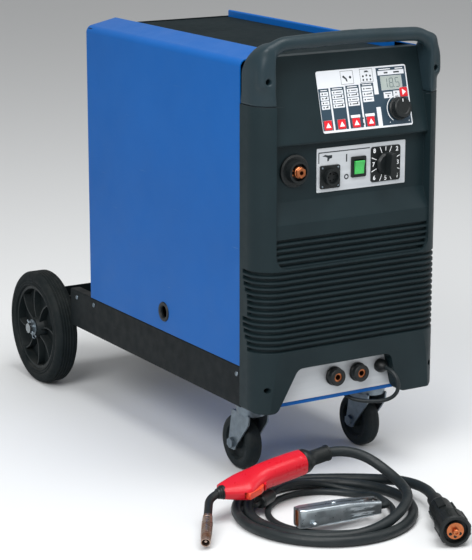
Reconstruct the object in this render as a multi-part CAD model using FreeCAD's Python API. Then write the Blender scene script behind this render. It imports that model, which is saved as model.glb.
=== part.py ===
import FreeCAD, Part
import math
import os
from FreeCAD import Vector

# MIG welder on a wheeled cart, with its torch and earth lead coiled on the floor in front.
# Millimetres. X to the right seen from the front, Y towards the back, Z up, floor at Z = 0.
# In this script Y = 0 is the joint between the moulded front and the steel case, and X = 0 the
# middle of the case. save() moves each piece so that the origin is the middle of the footprint.

ORIGIN_X = -85.913
ORIGIN_Y = 305.452

# Steel case
CASE_WIDTH = 380.0
CASE_LENGTH = 560.0
SHEET = 2.0
RAIL_SHEET = 2.5
RAIL_BOTTOM = 147.0
RAIL_TOP = 222.0
RAIL_FLANGE = 20.0
RAIL_OVERHANG = 88.0
SIDE_TOP = 752.0
TOP_STRIP = 66.0
TOP_STRIP_RISE = 14.0
TOP_BEND = 14.0
TRAY_Z = 752.0
GROMMET_Y = 267.0
GROMMET_Z = 259.0
GROMMET_RADIUS = 15.0
REAR_HOLES = ((-130.0, 200.0, 12.0), (140.0, 470.0, 7.0))

# Moulded front
FRONT_DEPTH = 70.0
FRONT_CORNER = 45.0
FRONT_LOW_DEPTH = 64.0
LEAN_TOP = 255.0
BAY_BOTTOM = 400.0
BAY_HALF = 158.0
BAY_CORNER = 25.0
BAY_DEPTH = 5.0
LEDGE_FRONT_Z = 477.0
LEDGE_BACK_Z = 514.0
PLATE_RECESS = 21.0
PANEL_BOTTOM_Z = 610.0
PANEL_TOP_Z = 757.0
PANEL_BOTTOM_Y = -62.0
PANEL_TOP_Y = -22.0
FRONT_WALL = 9.0
CAVITY_HALF = 148.0
HANDLE_SEAM_Z = 680.0
ARCH_LEFT = -112.0
ARCH_RIGHT = 82.0
ARCH_TOP = 222.0
ARCH_FOOT_LEFT = -152.0
ARCH_FOOT_RIGHT = 100.0
ARCH_ROUND = 16.0
LOBE_ROUND = 20.0
SCREW_HOLE_RADIUS = 5.0
SCREW_X = 171.0
UPPER_SCREW_Z = 722.0
LOWER_SCREW_Z = 190.0

# Louvres of the front
LOUVRE_PITCH = 10.4
LOUVRE_DEPTH = 7.0
LOUVRE_MOUTH = 7.4
LOUVRE_THROAT = 3.6
LOUVRE_GROUPS = (8, 6)
LOUVRE_GROUP_GAP = 0.0
LOUVRE_START = 10.0
LOUVRE_STEP = 0.85
BAY_LOUVRES = 5

# Carrying handle
HANDLE_RISE = 42.0
BAR_DROP = 89.0
PILLAR_BEND_DROP = 49.0
BAR_RADIUS = 13.0
BAR_BEND = 46.0
BAR_Y = -50.0
BAR_X = 174.0
BAR_CROWN = 5.0

# Controls on the sloping panel
OVERLAY_WIDTH = 186.0
OVERLAY_HEIGHT = 106.0
OVERLAY_SHEET = 1.0
OVERLAY_X = 34.0
OVERLAY_START = 16.0
KEY_WIDTH = 15.0
KEY_HEIGHT = 16.0
KEY_PROUD = 1.4
KEY_TRAVEL = 0.7
KEY_GAP = 0.5
KEY_DEPTH = 2.0
KEY_PLACES = ((-82.0, 13.0), (-54.0, 13.0), (-24.0, 13.0), (6.0, 13.0), (82.0, 58.0))
KNOB_RADIUS = 20.0
KNOB_HEIGHT = 17.0
KNOB_U = 66.0
KNOB_V = 30.0
DISPLAY_U = 59.0
DISPLAY_V = 76.0
DISPLAY_WIDTH = 44.0
DISPLAY_HEIGHT = 24.0
SHAFT_RADIUS = 3.0
SHAFT_DEPTH = 7.0
RUNNING_GAP = 0.05
FREE_GAP = 0.5

# Controls on the recessed plate
PLATE_WIDTH = 184.0
PLATE_HEIGHT = 76.0
PLATE_SHEET = 1.5
PLATE_X = 25.0
PLATE_Z = 561.0
DIAL_SIZE = 62.0
DIAL_SHEET = 1.2
DIAL_X = 75.0
SELECTOR_RADIUS = 20.0
SELECTOR_HEIGHT = 26.0
ROCKER_X = 18.0
ROCKER_WIDTH = 22.0
ROCKER_HEIGHT = 28.0
ROCKER_RIM = 4.0
ROCKER_TILT = 8.0
REMOTE_X = -41.0
REMOTE_Z = 549.0
REMOTE_SIZE = 40.0
EURO_X = -113.0
EURO_Z = 566.0
EURO_FLANGE = 28.0
EURO_BARREL = 20.0
EURO_PROUD = 19.0

# Lower sockets
CONNECTOR_SHEET = 2.0
CONNECTOR_Y = -44.0
CONNECTOR_TOP = 234.0
CONNECTOR_BOTTOM = 157.0
CONNECTOR_LEFT = -164.0
CONNECTOR_RIGHT = 116.0
SOCKET_XS = (-24.0, 26.0)
SOCKET_Z = 191.0
SOCKET_RADIUS = 17.0
SOCKET_PROUD = 15.0
SOCKET_BORE = 5.0
GLAND_X = 75.0
GLAND_Z = 195.0
GLAND_RADIUS = 12.0
POLARITY_DIAMETER = 7.0

# Rear wheels and axle
WHEEL_RADIUS = 115.0
WHEEL_WIDTH = 46.0
WHEEL_OUTER_X = 214.0
RIM_RADIUS = 86.0
RIM_WALL = 6.0
HUB_RADIUS = 23.0
SPOKES = 8
SPOKE_WIDTH = 3.0
AXLE_Y = 773.0
AXLE_RADIUS = 10.0
AXLE_HALF = 227.0
TYRE_GROOVES = 5

# Castors
CASTOR_RADIUS = 50.0
CASTOR_WIDTH = 30.0
CASTOR_X = 128.0
CASTOR_Y = 60.0
CASTOR_TRAIL = 33.0
CASTOR_PLATE = 3.0
CASTOR_AXLE = 6.0
KINGPIN_RADIUS = 7.0
FORK_SHEET = 3.0
FORK_CROWN = 110.0

# Bottle carrier
PLATFORM_HALF = 150.0
PLATFORM_TAIL = 39.0
PLATFORM_SHEET = 3.0
PLATFORM_WALL = 32.0
CRADLE_Z = 716.0
CRADLE_DEPTH = 62.0
BOTTLE_RADIUS = 80.0

# Door and wire feed
DOOR_FRONT = 62.0
DOOR_SETBACK = 60.0
DOOR_BOTTOM = 424.0
DOOR_TOP = 726.0
DOOR_GAP = 1.5
HINGE_RADIUS = 4.0
HINGE_PIN = 2.0
HINGE_LENGTH = 46.0
HINGE_ZS = (480.0, 670.0)
DECK_Z = 402.0
WALL_X = -150.0
SPOOL_RADIUS = 148.0
SPOOL_CORE = 52.0
SPOOL_WIRE = 128.0
SPOOL_WIDTH = 100.0
SPOOL_FLANGE = 4.0
SPOOL_Y = 372.0
SPOOL_Z = 572.0
SPOOL_SHAFT = 25.0
SPOOL_STANDOFF = 18.0
ROLL_RADIUS = 15.0
ROLL_WIDTH = 12.0
ROLL_Y = 120.0
FEED_PLATE = 8.0
ARM_LENGTH = 46.0

# Fan and power parts
FAN_X = 0.0
FAN_SETBACK = 40.0
FAN_Z = 282.0
FAN_RADIUS = 84.0
FAN_BLADES = 5
FAN_SLOTS = 13
FAN_SLOT_PITCH = 13.0
FAN_SLOT_HEIGHT = 6.0

# Torch and leads
COIL = Vector(-132.0, -189.0, 0.0)
COIL_START = -26.0
HOSE_DIAMETER = 18.0
CABLE_DIAMETER = 11.0
GRIP_REAR = Vector(-135.0, -116.0, 72.0)
TORCH_FORWARD = Vector(-0.991, -0.020, -0.131).normalize()
TORCH_DOWN = Vector(0.05, -0.974, -0.22)
GRIP_LENGTH = 166.0
SLEEVE_LENGTH = 46.0
SLEEVE_RADIUS = 15.0
NECK_RADIUS = 7.0
NECK_START = 4.0
NECK_BEND = 40.0
NECK_ANGLE = 55.0
NECK_END = 52.0
NOZZLE_RADIUS = 9.5
NOZZLE_LENGTH = 56.0
TRIGGER_PLACE = 118.0
TRIGGER_LENGTH = 40.0
TRIGGER_WIDTH = 12.0
PLUG_LENGTH = 150.0
PLUG_NUT = 27.5
PLUG_BODY = 19.0
CLAMP_TAIL = Vector(-78.0, -262.0, 29.0)
CLAMP_JAW = Vector(-226.0, -244.0, 29.0)
CLAMP_HEIGHT = 30.0
CLAMP_WIDTH = 30.0
CLAMP_LENGTH = 150.0
CLAMP_PIVOT = 84.0
CLAMP_PIN = 2.5
CLAMP_GAP = 1.4
CLAMP_SPREAD = 9.0
CABLE_OFFSET = 7.0
EARTH_PLUG_RADIUS = 12.0
EARTH_PLUG_LENGTH = 66.0

X_AXIS = Vector(1, 0, 0)
Y_AXIS = Vector(0, 1, 0)
Z_AXIS = Vector(0, 0, 1)
HALF = CASE_WIDTH / 2
PAN_Z = RAIL_BOTTOM + RAIL_SHEET
HANDLE_TOP = PANEL_TOP_Z + HANDLE_RISE
PILLAR_TOP_Z = HANDLE_TOP - BAR_RADIUS
PILLAR_BACK_Z = PILLAR_TOP_Z - PILLAR_BEND_DROP
FAN_Y = CASE_LENGTH - FAN_SETBACK
DOOR_BACK = CASE_LENGTH - DOOR_SETBACK
PLATFORM_END = AXLE_Y + PLATFORM_TAIL
PLATE_Y = PLATE_RECESS - FRONT_DEPTH
PANEL_NORMAL = Vector(0, PANEL_BOTTOM_Z - PANEL_TOP_Z, PANEL_TOP_Y - PANEL_BOTTOM_Y).normalize()
HINGE_X = HALF + HINGE_RADIUS + FREE_GAP
HINGE_Y = DOOR_BACK
TORCH_TURN = TORCH_FORWARD * TORCH_DOWN.dot(TORCH_FORWARD)
TORCH_BELLY = (TORCH_DOWN - TORCH_TURN).normalize()
def save(name, *pieces):
    solids = [solid for piece in pieces for solid in piece.Solids]
    shape = solids[0].copy() if len(solids) == 1 else Part.makeCompound(solids)
    shape.translate(Vector(-ORIGIN_X, -ORIGIN_Y, 0))
    shape.exportStep("parts/" + name + ".step")


def block(x0, x1, y0, y1, z0, z1):
    return Part.makeBox(x1 - x0, y1 - y0, z1 - z0, Vector(x0, y0, z0))


def rod(start, axis, radius, length):
    return Part.makeCylinder(radius, length, start, axis)


def ring(start, axis, outer, inner, length):
    return rod(start, axis, outer, length).cut(rod(start, axis, inner, length))


def fused(pieces):
    return pieces[0].fuse(list(pieces[1:])).removeSplitter()


def mirrored(shape):
    return shape.mirror(Vector(0, 0, 0), X_AXIS)


# Closed flat outline through the points, with an arc of the given radius at each corner.
def rounded_wire(points, radii):
    count = len(points)
    corners = []
    for i, corner in enumerate(points):
        radius = radii[i] if isinstance(radii, (list, tuple)) else radii
        before = (points[i - 1] - corner).normalize()
        after = (points[(i + 1) % count] - corner).normalize()
        if radius <= 0:
            corners.append((corner, None, corner))
            continue
        half = before.getAngle(after) / 2
        cut = radius / math.tan(half)
        middle = corner + (before + after).normalize() * (radius / math.sin(half) - radius)
        corners.append((corner + before * cut, middle, corner + after * cut))
    edges = []
    for i, (start, middle, end) in enumerate(corners):
        if middle is not None:
            edges.append(Part.Arc(start, middle, end).toShape())
        following = corners[(i + 1) % count][0]
        if end.distanceToPoint(following) > 1e-6:
            edges.append(Part.LineSegment(end, following).toShape())
    return Part.Wire(edges)


def prism(points, radii, direction):
    return Part.Face(rounded_wire(points, radii)).extrude(direction)


def front_prism(outline, radii, y0, y1):
    return prism([Vector(x, y0, z) for x, z in outline], radii, Vector(0, y1 - y0, 0))


def side_prism(outline, radii, x0, x1):
    return prism([Vector(x0, y, z) for y, z in outline], radii, Vector(x1 - x0, 0, 0))


def flat_prism(outline, radii, z0, z1):
    return prism([Vector(x, y, z0) for x, y in outline], radii, Vector(0, 0, z1 - z0))


# Outline of a bent sheet that lies to the left of the path, with its corner radii.
def folded(path, bends, thickness):
    steps = []
    for (a, b), (c, d) in zip(path, path[1:]):
        length = math.hypot(c - a, d - b)
        steps.append(((c - a) / length, (d - b) / length))
    other, radii, other_radii = [], [], []
    for i, (a, b) in enumerate(path):
        before = steps[max(i - 1, 0)]
        after = steps[min(i, len(steps) - 1)]
        share = thickness / (1 + before[0] * after[0] + before[1] * after[1])
        other.append((a - (before[1] + after[1]) * share, b + (before[0] + after[0]) * share))
        left_turn = before[0] * after[1] - before[1] * after[0] > 0
        small = max(bends[i] - thickness, 0)
        radii.append(bends[i] if left_turn else small)
        other_radii.append(small if left_turn else bends[i])
    return path + other[::-1], radii + other_radii[::-1]


# Solid of revolution from (radius, distance along the axis) corners.
def turned(profile, start, axis):
    points = [Vector(radius, 0, along) for radius, along in profile]
    face = Part.Face(Part.makePolygon(points + points[:1]))
    return placed(face.revolve(Vector(0, 0, 0), Z_AXIS, 360), start, axis)


# Moves a shape drawn at the origin: its Z goes along z_axis and its X as near x_axis as it can.
def placed(shape, origin, z_axis, x_axis=None):
    upright = Vector(z_axis).normalize()
    if x_axis is None:
        x_axis = Z_AXIS if abs(upright.x) > 0.9 else X_AXIS
    across = upright.cross(Vector(x_axis)).normalize()
    along = across.cross(upright)
    matrix = FreeCAD.Matrix(
        along.x, across.x, upright.x, origin.x,
        along.y, across.y, upright.y, origin.y,
        along.z, across.z, upright.z, origin.z,
        0, 0, 0, 1)
    result = shape.copy()
    result.Placement = FreeCAD.Placement(matrix).multiply(result.Placement)
    return result


def hexagon(start, axis, across_flats, height):
    radius = across_flats / math.sqrt(3)
    points = [Vector(radius * math.cos(math.radians(60 * i)), radius * math.sin(math.radians(60 * i)), 0)
              for i in range(6)]
    return placed(prism(points, 0, Vector(0, 0, height)), start, axis)


def side_panel(door_opening):
    path = [(-HALF + TOP_STRIP, TRAY_Z), (-HALF + TOP_STRIP, SIDE_TOP + TOP_STRIP_RISE),
            (-HALF, SIDE_TOP), (-HALF, RAIL_TOP)]
    outline, radii = folded(path, [0, 3, TOP_BEND, 0], SHEET)
    panel = front_prism(outline, radii, 0, CASE_LENGTH)
    if door_opening:
        hole = side_prism(door_outline(0), 8, -HALF - 1, -HALF + SHEET + 1)
    else:
        hole = rod(Vector(-HALF - 1, GROMMET_Y, GROMMET_Z), X_AXIS, GROMMET_RADIUS, SHEET + 2)
    return panel.cut(hole)


def door_outline(gap):
    return [(DOOR_FRONT + gap, DOOR_BOTTOM + gap), (DOOR_BACK - gap, DOOR_BOTTOM + gap),
            (DOOR_BACK - gap, DOOR_TOP - gap), (DOOR_FRONT + gap, DOOR_TOP - gap)]


def side_rail():
    path = [(-HALF + RAIL_FLANGE, RAIL_TOP), (-HALF, RAIL_TOP), (-HALF, RAIL_BOTTOM),
            (-HALF + RAIL_FLANGE, RAIL_BOTTOM)]
    outline, radii = folded(path, [0, 3, 3, 0], RAIL_SHEET)
    return front_prism(outline, radii, 0, CASE_LENGTH + RAIL_OVERHANG)


def base_pan():
    side = HALF - RAIL_SHEET - FREE_GAP
    outline = [(-side, 0), (CONNECTOR_LEFT, 0), (CONNECTOR_LEFT, CONNECTOR_Y + CONNECTOR_SHEET),
               (CONNECTOR_RIGHT, CONNECTOR_Y + CONNECTOR_SHEET), (CONNECTOR_RIGHT, 0), (side, 0),
               (side, CASE_LENGTH - SHEET), (-side, CASE_LENGTH - SHEET)]
    floor = flat_prism(outline, 0, PAN_Z, PAN_Z + SHEET)
    lip_y = CONNECTOR_Y + CONNECTOR_SHEET
    lip = block(CONNECTOR_LEFT, CONNECTOR_RIGHT, lip_y, lip_y + SHEET, PAN_Z, PAN_Z + 12)
    return fused([floor, lip])


def rear_panel():
    back = CASE_LENGTH - SHEET
    path = [(back, PAN_Z + SHEET), (back, TRAY_Z - SHEET), (back - 16, TRAY_Z - SHEET)]
    outline, radii = folded(path, [0, 3, 0], SHEET)
    side = HALF - SHEET - FREE_GAP
    panel = side_prism(outline, radii, -side, side)
    slots = []
    for i in range(FAN_SLOTS):
        height = (i - (FAN_SLOTS - 1) / 2) * FAN_SLOT_PITCH
        reach = math.sqrt((FAN_RADIUS + 6) ** 2 - height ** 2)
        for x0, x1 in ((-reach, -4), (4, reach)):
            slots.append(block(FAN_X + x0, FAN_X + x1, back - 3, back + 1, FAN_Z + height - FAN_SLOT_HEIGHT / 2,
                               FAN_Z + height + FAN_SLOT_HEIGHT / 2))
    for x, z, radius in REAR_HOLES:
        slots.append(rod(Vector(x, back - 3, z), Y_AXIS, radius, 4))
    return panel.cut(slots)


def top_tray():
    return block(-HALF + TOP_STRIP - 16, HALF - TOP_STRIP + 16, 0, CASE_LENGTH - SHEET, TRAY_Z - SHEET, TRAY_Z)


def front_wire(z):
    points = [Vector(-HALF, 0, z), Vector(-HALF, -FRONT_DEPTH, z), Vector(HALF, -FRONT_DEPTH, z), Vector(HALF, 0, z)]
    return rounded_wire(points, [0, FRONT_CORNER, FRONT_CORNER, 0])


# The rounded moulding, its face leaning back a little towards the foot.
def front_mass(top):
    mass = Part.Face(front_wire(RAIL_BOTTOM)).extrude(Vector(0, 0, top - RAIL_BOTTOM))
    lean = [(-FRONT_DEPTH - 1, RAIL_BOTTOM - 1), (-FRONT_LOW_DEPTH, RAIL_BOTTOM - 1), (-FRONT_DEPTH, LEAN_TOP),
            (-FRONT_DEPTH - 1, LEAN_TOP)]
    return mass.cut(side_prism(lean, 0, -HALF - 1, HALF + 1))


def front_silhouette():
    outline = [(-HALF, PANEL_TOP_Z), (-HALF, RAIL_BOTTOM), (ARCH_FOOT_LEFT, RAIL_BOTTOM), (ARCH_LEFT, ARCH_TOP),
               (ARCH_RIGHT, ARCH_TOP), (ARCH_FOOT_RIGHT, RAIL_BOTTOM), (HALF, RAIL_BOTTOM), (HALF, PANEL_TOP_Z)]
    radii = [0, 6, LOBE_ROUND * 0.7, ARCH_ROUND, ARCH_ROUND, LOBE_ROUND, LOBE_ROUND * 1.4, 0]
    skin = front_prism(outline, radii, -FRONT_DEPTH - 1, CONNECTOR_Y)
    return skin.fuse(front_prism([(-HALF, PANEL_TOP_Z), (-HALF, RAIL_BOTTOM), (HALF, RAIL_BOTTOM),
                                  (HALF, PANEL_TOP_Z)], [0, 6, 6, 0], CONNECTOR_Y, 0))


# The bay between the pillars: louvred apron, ledge, recessed plate and sloping control panel.
def bay_cutter():
    apron = BAY_DEPTH - FRONT_DEPTH
    proud = -FRONT_DEPTH - 30
    profile = [(proud, BAY_BOTTOM), (apron, BAY_BOTTOM), (apron, LEDGE_FRONT_Z), (PLATE_Y, LEDGE_BACK_Z),
               (PLATE_Y, PANEL_BOTTOM_Z), (PANEL_BOTTOM_Y, PANEL_BOTTOM_Z), (PANEL_TOP_Y, PANEL_TOP_Z),
               (PANEL_TOP_Y, PANEL_TOP_Z + 20), (proud, PANEL_TOP_Z + 20)]
    radii = [0, 0, 5, 3, 2, 4, 0, 0, 0]
    shape = side_prism(profile, radii, -BAY_HALF, BAY_HALF)
    outline = [(-BAY_HALF, PANEL_TOP_Z + 20), (-BAY_HALF, BAY_BOTTOM), (BAY_HALF, BAY_BOTTOM),
               (BAY_HALF, PANEL_TOP_Z + 20)]
    return shape.common(front_prism(outline, [0, BAY_CORNER, BAY_CORNER, 0], proud, 0))


def front_cavity():
    wall = FRONT_WALL
    profile = [(1, 246), (BAY_DEPTH + wall + LOUVRE_DEPTH - FRONT_DEPTH, 246),
               (BAY_DEPTH + wall + LOUVRE_DEPTH - FRONT_DEPTH, LEDGE_FRONT_Z - wall),
               (PLATE_Y + wall, LEDGE_BACK_Z - wall), (PLATE_Y + wall, PANEL_BOTTOM_Z),
               (PANEL_TOP_Y + wall, PANEL_TOP_Z - wall), (1, PANEL_TOP_Z - wall)]
    return side_prism(profile, 0, -CAVITY_HALF, CAVITY_HALF)


# One groove round the front at height z: across the face, round both corners and along both sides.
def louvre(z, start):
    mouth = LOUVRE_MOUTH / 2
    throat = LOUVRE_THROAT / 2
    inner = FRONT_CORNER - LOUVRE_DEPTH
    profile = [(FRONT_CORNER + 1, -mouth), (FRONT_CORNER, -mouth), (inner, -throat), (inner, throat),
               (FRONT_CORNER, mouth), (FRONT_CORNER + 1, mouth)]
    reach = HALF - FRONT_CORNER
    centre_y = FRONT_CORNER - FRONT_DEPTH
    pieces = [side_prism([(centre_y - out, z + up) for out, up in profile], 0, -reach, reach)]
    for side in (-1, 1):
        centre = Vector(side * reach, centre_y, z)
        points = [centre + Vector(side * out, 0, up) for out, up in profile]
        face = Part.Face(Part.makePolygon(points + points[:1]))
        pieces.append(face.extrude(Vector(0, -start - centre_y, 0)))
        pieces.append(face.revolve(centre, Z_AXIS, -side * 90))
    return pieces


def wide_louvres():
    grooves = []
    z = BAY_BOTTOM - LOUVRE_MOUTH / 2 - 2
    for count in LOUVRE_GROUPS:
        for i in range(count):
            grooves.extend(louvre(z, LOUVRE_START + LOUVRE_STEP * i * i))
            z -= LOUVRE_PITCH
        z -= LOUVRE_GROUP_GAP
    return grooves


def bay_louvres():
    front = BAY_DEPTH - FRONT_DEPTH
    mouth = LOUVRE_MOUTH / 2
    throat = LOUVRE_THROAT / 2
    grooves = []
    for i in range(BAY_LOUVRES):
        z = BAY_BOTTOM + (i + 0.7) * LOUVRE_PITCH
        profile = [(front - 1, z - mouth), (front, z - mouth), (front + LOUVRE_DEPTH, z - throat),
                   (front + LOUVRE_DEPTH, z + throat), (front, z + mouth), (front - 1, z + mouth)]
        inset = 1.0 + max(BAY_CORNER - (z - BAY_BOTTOM), 0) * 0.35
        grooves.append(side_prism(profile, 0, -BAY_HALF + inset, BAY_HALF - inset))
    return grooves


def screw_pockets(z):
    return [rod(Vector(x, -FRONT_DEPTH - 1, z), Y_AXIS, SCREW_HOLE_RADIUS, 45) for x in (-SCREW_X, SCREW_X)]


def panel_point(u, v, lift):
    slope = Vector(0, PANEL_TOP_Y - PANEL_BOTTOM_Y, PANEL_TOP_Z - PANEL_BOTTOM_Z).normalize()
    return Vector(OVERLAY_X + u, PANEL_BOTTOM_Y, PANEL_BOTTOM_Z) + slope * (OVERLAY_START + v) + PANEL_NORMAL * lift


def on_panel(shape, u, v, lift):
    return placed(shape, panel_point(u, v, lift), PANEL_NORMAL, X_AXIS)


def plate(width, height, radius, thickness):
    x, y = width / 2, height / 2
    return flat_prism([(-x, -y), (x, -y), (x, y), (-x, y)], radius, 0, thickness)


def panel_pockets():
    pockets = []
    for u, v in KEY_PLACES:
        pocket = plate(KEY_WIDTH + 2 * KEY_GAP, KEY_HEIGHT + 2 * KEY_GAP, 1, 20)
        pockets.append(on_panel(pocket, u, v, -KEY_DEPTH - KEY_TRAVEL - 0.3))
    pockets.append(on_panel(rod(Vector(0, 0, 0), Z_AXIS, SHAFT_RADIUS + RUNNING_GAP, 20), KNOB_U, KNOB_V,
                            -SHAFT_DEPTH - 0.5))
    return pockets


def recess_holes():
    holes = [rod(Vector(EURO_X, PLATE_Y - 2, EURO_Z), Y_AXIS, EURO_BARREL, 30)]
    holes.append(rod(Vector(DIAL_X, PLATE_Y - 2, PLATE_Z), Y_AXIS, SHAFT_RADIUS + RUNNING_GAP, SHAFT_DEPTH + 2))
    side = ROCKER_WIDTH / 2
    high = ROCKER_HEIGHT / 2
    holes.append(block(ROCKER_X - side, ROCKER_X + side, PLATE_Y - 1, 1, PLATE_Z - high, PLATE_Z + high))
    return holes


def front_fascia():
    body = front_mass(PANEL_TOP_Z).common(front_silhouette())
    body = body.cut([bay_cutter(), front_cavity()])
    low_cavity = block(CONNECTOR_LEFT, CONNECTOR_RIGHT, CONNECTOR_Y, 1, RAIL_BOTTOM - 1, CONNECTOR_TOP + 2)
    ears = [block(-HALF - 1, -BAY_HALF, -FRONT_DEPTH - 1, 1, HANDLE_SEAM_Z, PANEL_TOP_Z + 1),
            block(BAY_HALF, HALF + 1, -FRONT_DEPTH - 1, 1, HANDLE_SEAM_Z, PANEL_TOP_Z + 1)]
    body = body.cut([low_cavity] + ears)
    body = body.cut(panel_pockets() + recess_holes() + screw_pockets(LOWER_SCREW_Z))
    return body.cut(wide_louvres() + bay_louvres())


def bar_path():
    top = HANDLE_TOP - BAR_RADIUS
    left = Vector(-BAR_X, BAR_Y, HANDLE_TOP - BAR_DROP)
    corner = Vector(-BAR_X, BAR_Y, top - BAR_CROWN)
    crown = Vector(0, BAR_Y, top)
    return run_path([left, corner, crown, Vector(BAR_X, BAR_Y, corner.z), Vector(BAR_X, BAR_Y, left.z)],
                    [BAR_BEND, 2000, BAR_BEND])


# Straight runs joined by tangent arcs of the given radii.
def run_path(points, radii):
    edges = []
    start = points[0]
    for before, corner, after, radius in zip(points, points[1:], points[2:], radii):
        back = (before - corner).normalize()
        on = (after - corner).normalize()
        half = back.getAngle(on) / 2
        cut = radius / math.tan(half)
        entry = corner + back * cut
        leave = corner + on * cut
        middle = corner + (back + on).normalize() * (radius / math.sin(half) - radius)
        if start.distanceToPoint(entry) > 1e-6:
            edges.append(Part.LineSegment(start, entry).toShape())
        edges.append(Part.Arc(entry, middle, leave).toShape())
        start = leave
    if start.distanceToPoint(points[-1]) > 1e-6:
        edges.append(Part.LineSegment(start, points[-1]).toShape())
    return Part.Wire(edges)


def tube_along(wire, radius):
    start = wire.Edges[0].valueAt(wire.Edges[0].FirstParameter)
    ahead = wire.Edges[0].tangentAt(wire.Edges[0].FirstParameter)
    profile = Part.Wire([Part.Circle(start, ahead, radius).toShape()])
    return wire.makePipeShell([profile], True, False)


def handle():
    pillar = Part.Face(front_wire(HANDLE_SEAM_Z)).extrude(Vector(0, 0, HANDLE_TOP - HANDLE_SEAM_Z))
    side = [(1, HANDLE_SEAM_Z), (1, PILLAR_BACK_Z), (BAR_Y + 16, PILLAR_TOP_Z), (BAR_Y - 8, PILLAR_TOP_Z),
            (-FRONT_DEPTH - 1, PILLAR_BACK_Z + 20), (-FRONT_DEPTH - 1, HANDLE_SEAM_Z)]
    pillar = pillar.common(side_prism(side, [0, 14, 12, 12, 14, 0], -HALF - 1, HALF + 1))
    face = [(-HALF, HANDLE_SEAM_Z), (HALF, HANDLE_SEAM_Z), (HALF, PILLAR_TOP_Z), (-HALF, PILLAR_TOP_Z)]
    pillar = pillar.common(front_prism(face, [0, 0, BAR_BEND * 0.8, BAR_BEND * 0.8], -FRONT_DEPTH - 1, 1))
    pillar = pillar.cut(block(-BAY_HALF, BAY_HALF, -FRONT_DEPTH - 1, 2, HANDLE_SEAM_Z - 1, HANDLE_TOP))
    bar = tube_along(bar_path(), BAR_RADIUS)
    return fused([pillar, bar]).cut(screw_pockets(UPPER_SCREW_Z))


def control_overlay():
    sheet = plate(OVERLAY_WIDTH, OVERLAY_HEIGHT, 4, OVERLAY_SHEET)
    holes = [rod(Vector(KNOB_U, KNOB_V - OVERLAY_HEIGHT / 2, -1), Z_AXIS, SHAFT_RADIUS + 1, OVERLAY_SHEET + 2)]
    for u, v in KEY_PLACES:
        hole = plate(KEY_WIDTH + 2 * KEY_GAP, KEY_HEIGHT + 2 * KEY_GAP, 1, OVERLAY_SHEET + 2)
        hole.translate(Vector(u, v - OVERLAY_HEIGHT / 2, -1))
        holes.append(hole)
    window = plate(DISPLAY_WIDTH, DISPLAY_HEIGHT, 1, OVERLAY_SHEET)
    window.translate(Vector(DISPLAY_U, DISPLAY_V - OVERLAY_HEIGHT / 2, OVERLAY_SHEET * 0.6))
    return on_panel(sheet.cut(holes + [window]), 0, OVERLAY_HEIGHT / 2, 0)


def key(u, v):
    cap = plate(KEY_WIDTH, KEY_HEIGHT, 1.5, KEY_DEPTH + OVERLAY_SHEET + KEY_PROUD)
    rim = max(cap.Edges, key=lambda edge: edge.CenterOfMass.z).CenterOfMass.z
    cap = cap.makeFillet(0.6, [edge for edge in cap.Edges if edge.CenterOfMass.z > rim - 0.01])
    return on_panel(cap, u, v, -KEY_DEPTH)


def adjust_knob():
    lift = OVERLAY_SHEET + FREE_GAP
    profile = [(0, lift), (KNOB_RADIUS, lift), (KNOB_RADIUS, lift + 3), (KNOB_RADIUS - 2, lift + 5),
               (KNOB_RADIUS - 3, lift + KNOB_HEIGHT - 1.5), (KNOB_RADIUS - 4.5, lift + KNOB_HEIGHT),
               (KNOB_RADIUS - 8, lift + KNOB_HEIGHT), (KNOB_RADIUS - 9.5, lift + KNOB_HEIGHT - 1),
               (0, lift + KNOB_HEIGHT - 1)]
    cap = turned(profile, Vector(0, 0, 0), Z_AXIS)
    shaft = rod(Vector(0, 0, -SHAFT_DEPTH), Z_AXIS, SHAFT_RADIUS, SHAFT_DEPTH + lift)
    return on_panel(fused([cap, shaft]), KNOB_U, KNOB_V, 0)


def switch_plate():
    x, z = PLATE_WIDTH / 2, PLATE_HEIGHT / 2
    outline = [(PLATE_X - x, PLATE_Z - z), (PLATE_X + x, PLATE_Z - z), (PLATE_X + x, PLATE_Z + z),
               (PLATE_X - x, PLATE_Z + z)]
    sheet = front_prism(outline, 1.5, PLATE_Y - PLATE_SHEET, PLATE_Y)
    side = ROCKER_WIDTH / 2
    high = ROCKER_HEIGHT / 2
    holes = [block(ROCKER_X - side, ROCKER_X + side, PLATE_Y - 5, PLATE_Y + 1, PLATE_Z - high, PLATE_Z + high),
             rod(Vector(DIAL_X, PLATE_Y - 5, PLATE_Z), Y_AXIS, SHAFT_RADIUS + 1, 6)]
    return sheet.cut(holes)


def remote_socket():
    face = PLATE_Y - PLATE_SHEET
    x, z = REMOTE_SIZE / 2, REMOTE_SIZE / 2
    flange = front_prism([(REMOTE_X - x, REMOTE_Z - z), (REMOTE_X + x, REMOTE_Z - z),
                          (REMOTE_X + x, REMOTE_Z + z), (REMOTE_X - x, REMOTE_Z + z)], 3, face - 3, face)
    collar = ring(Vector(REMOTE_X, face - 12, REMOTE_Z), Y_AXIS, 14, 11, 9)
    insert = rod(Vector(REMOTE_X, face - 6, REMOTE_Z), Y_AXIS, 11, 3)
    pins = []
    for i in range(5):
        angle = math.radians(45 + 67.5 * i)
        pins.append(rod(Vector(REMOTE_X + 6.5 * math.cos(angle), face - 7, REMOTE_Z + 6.5 * math.sin(angle)),
                        Y_AXIS, 1.4, 5))
    return fused([flange, collar, insert]).cut(pins)


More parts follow.
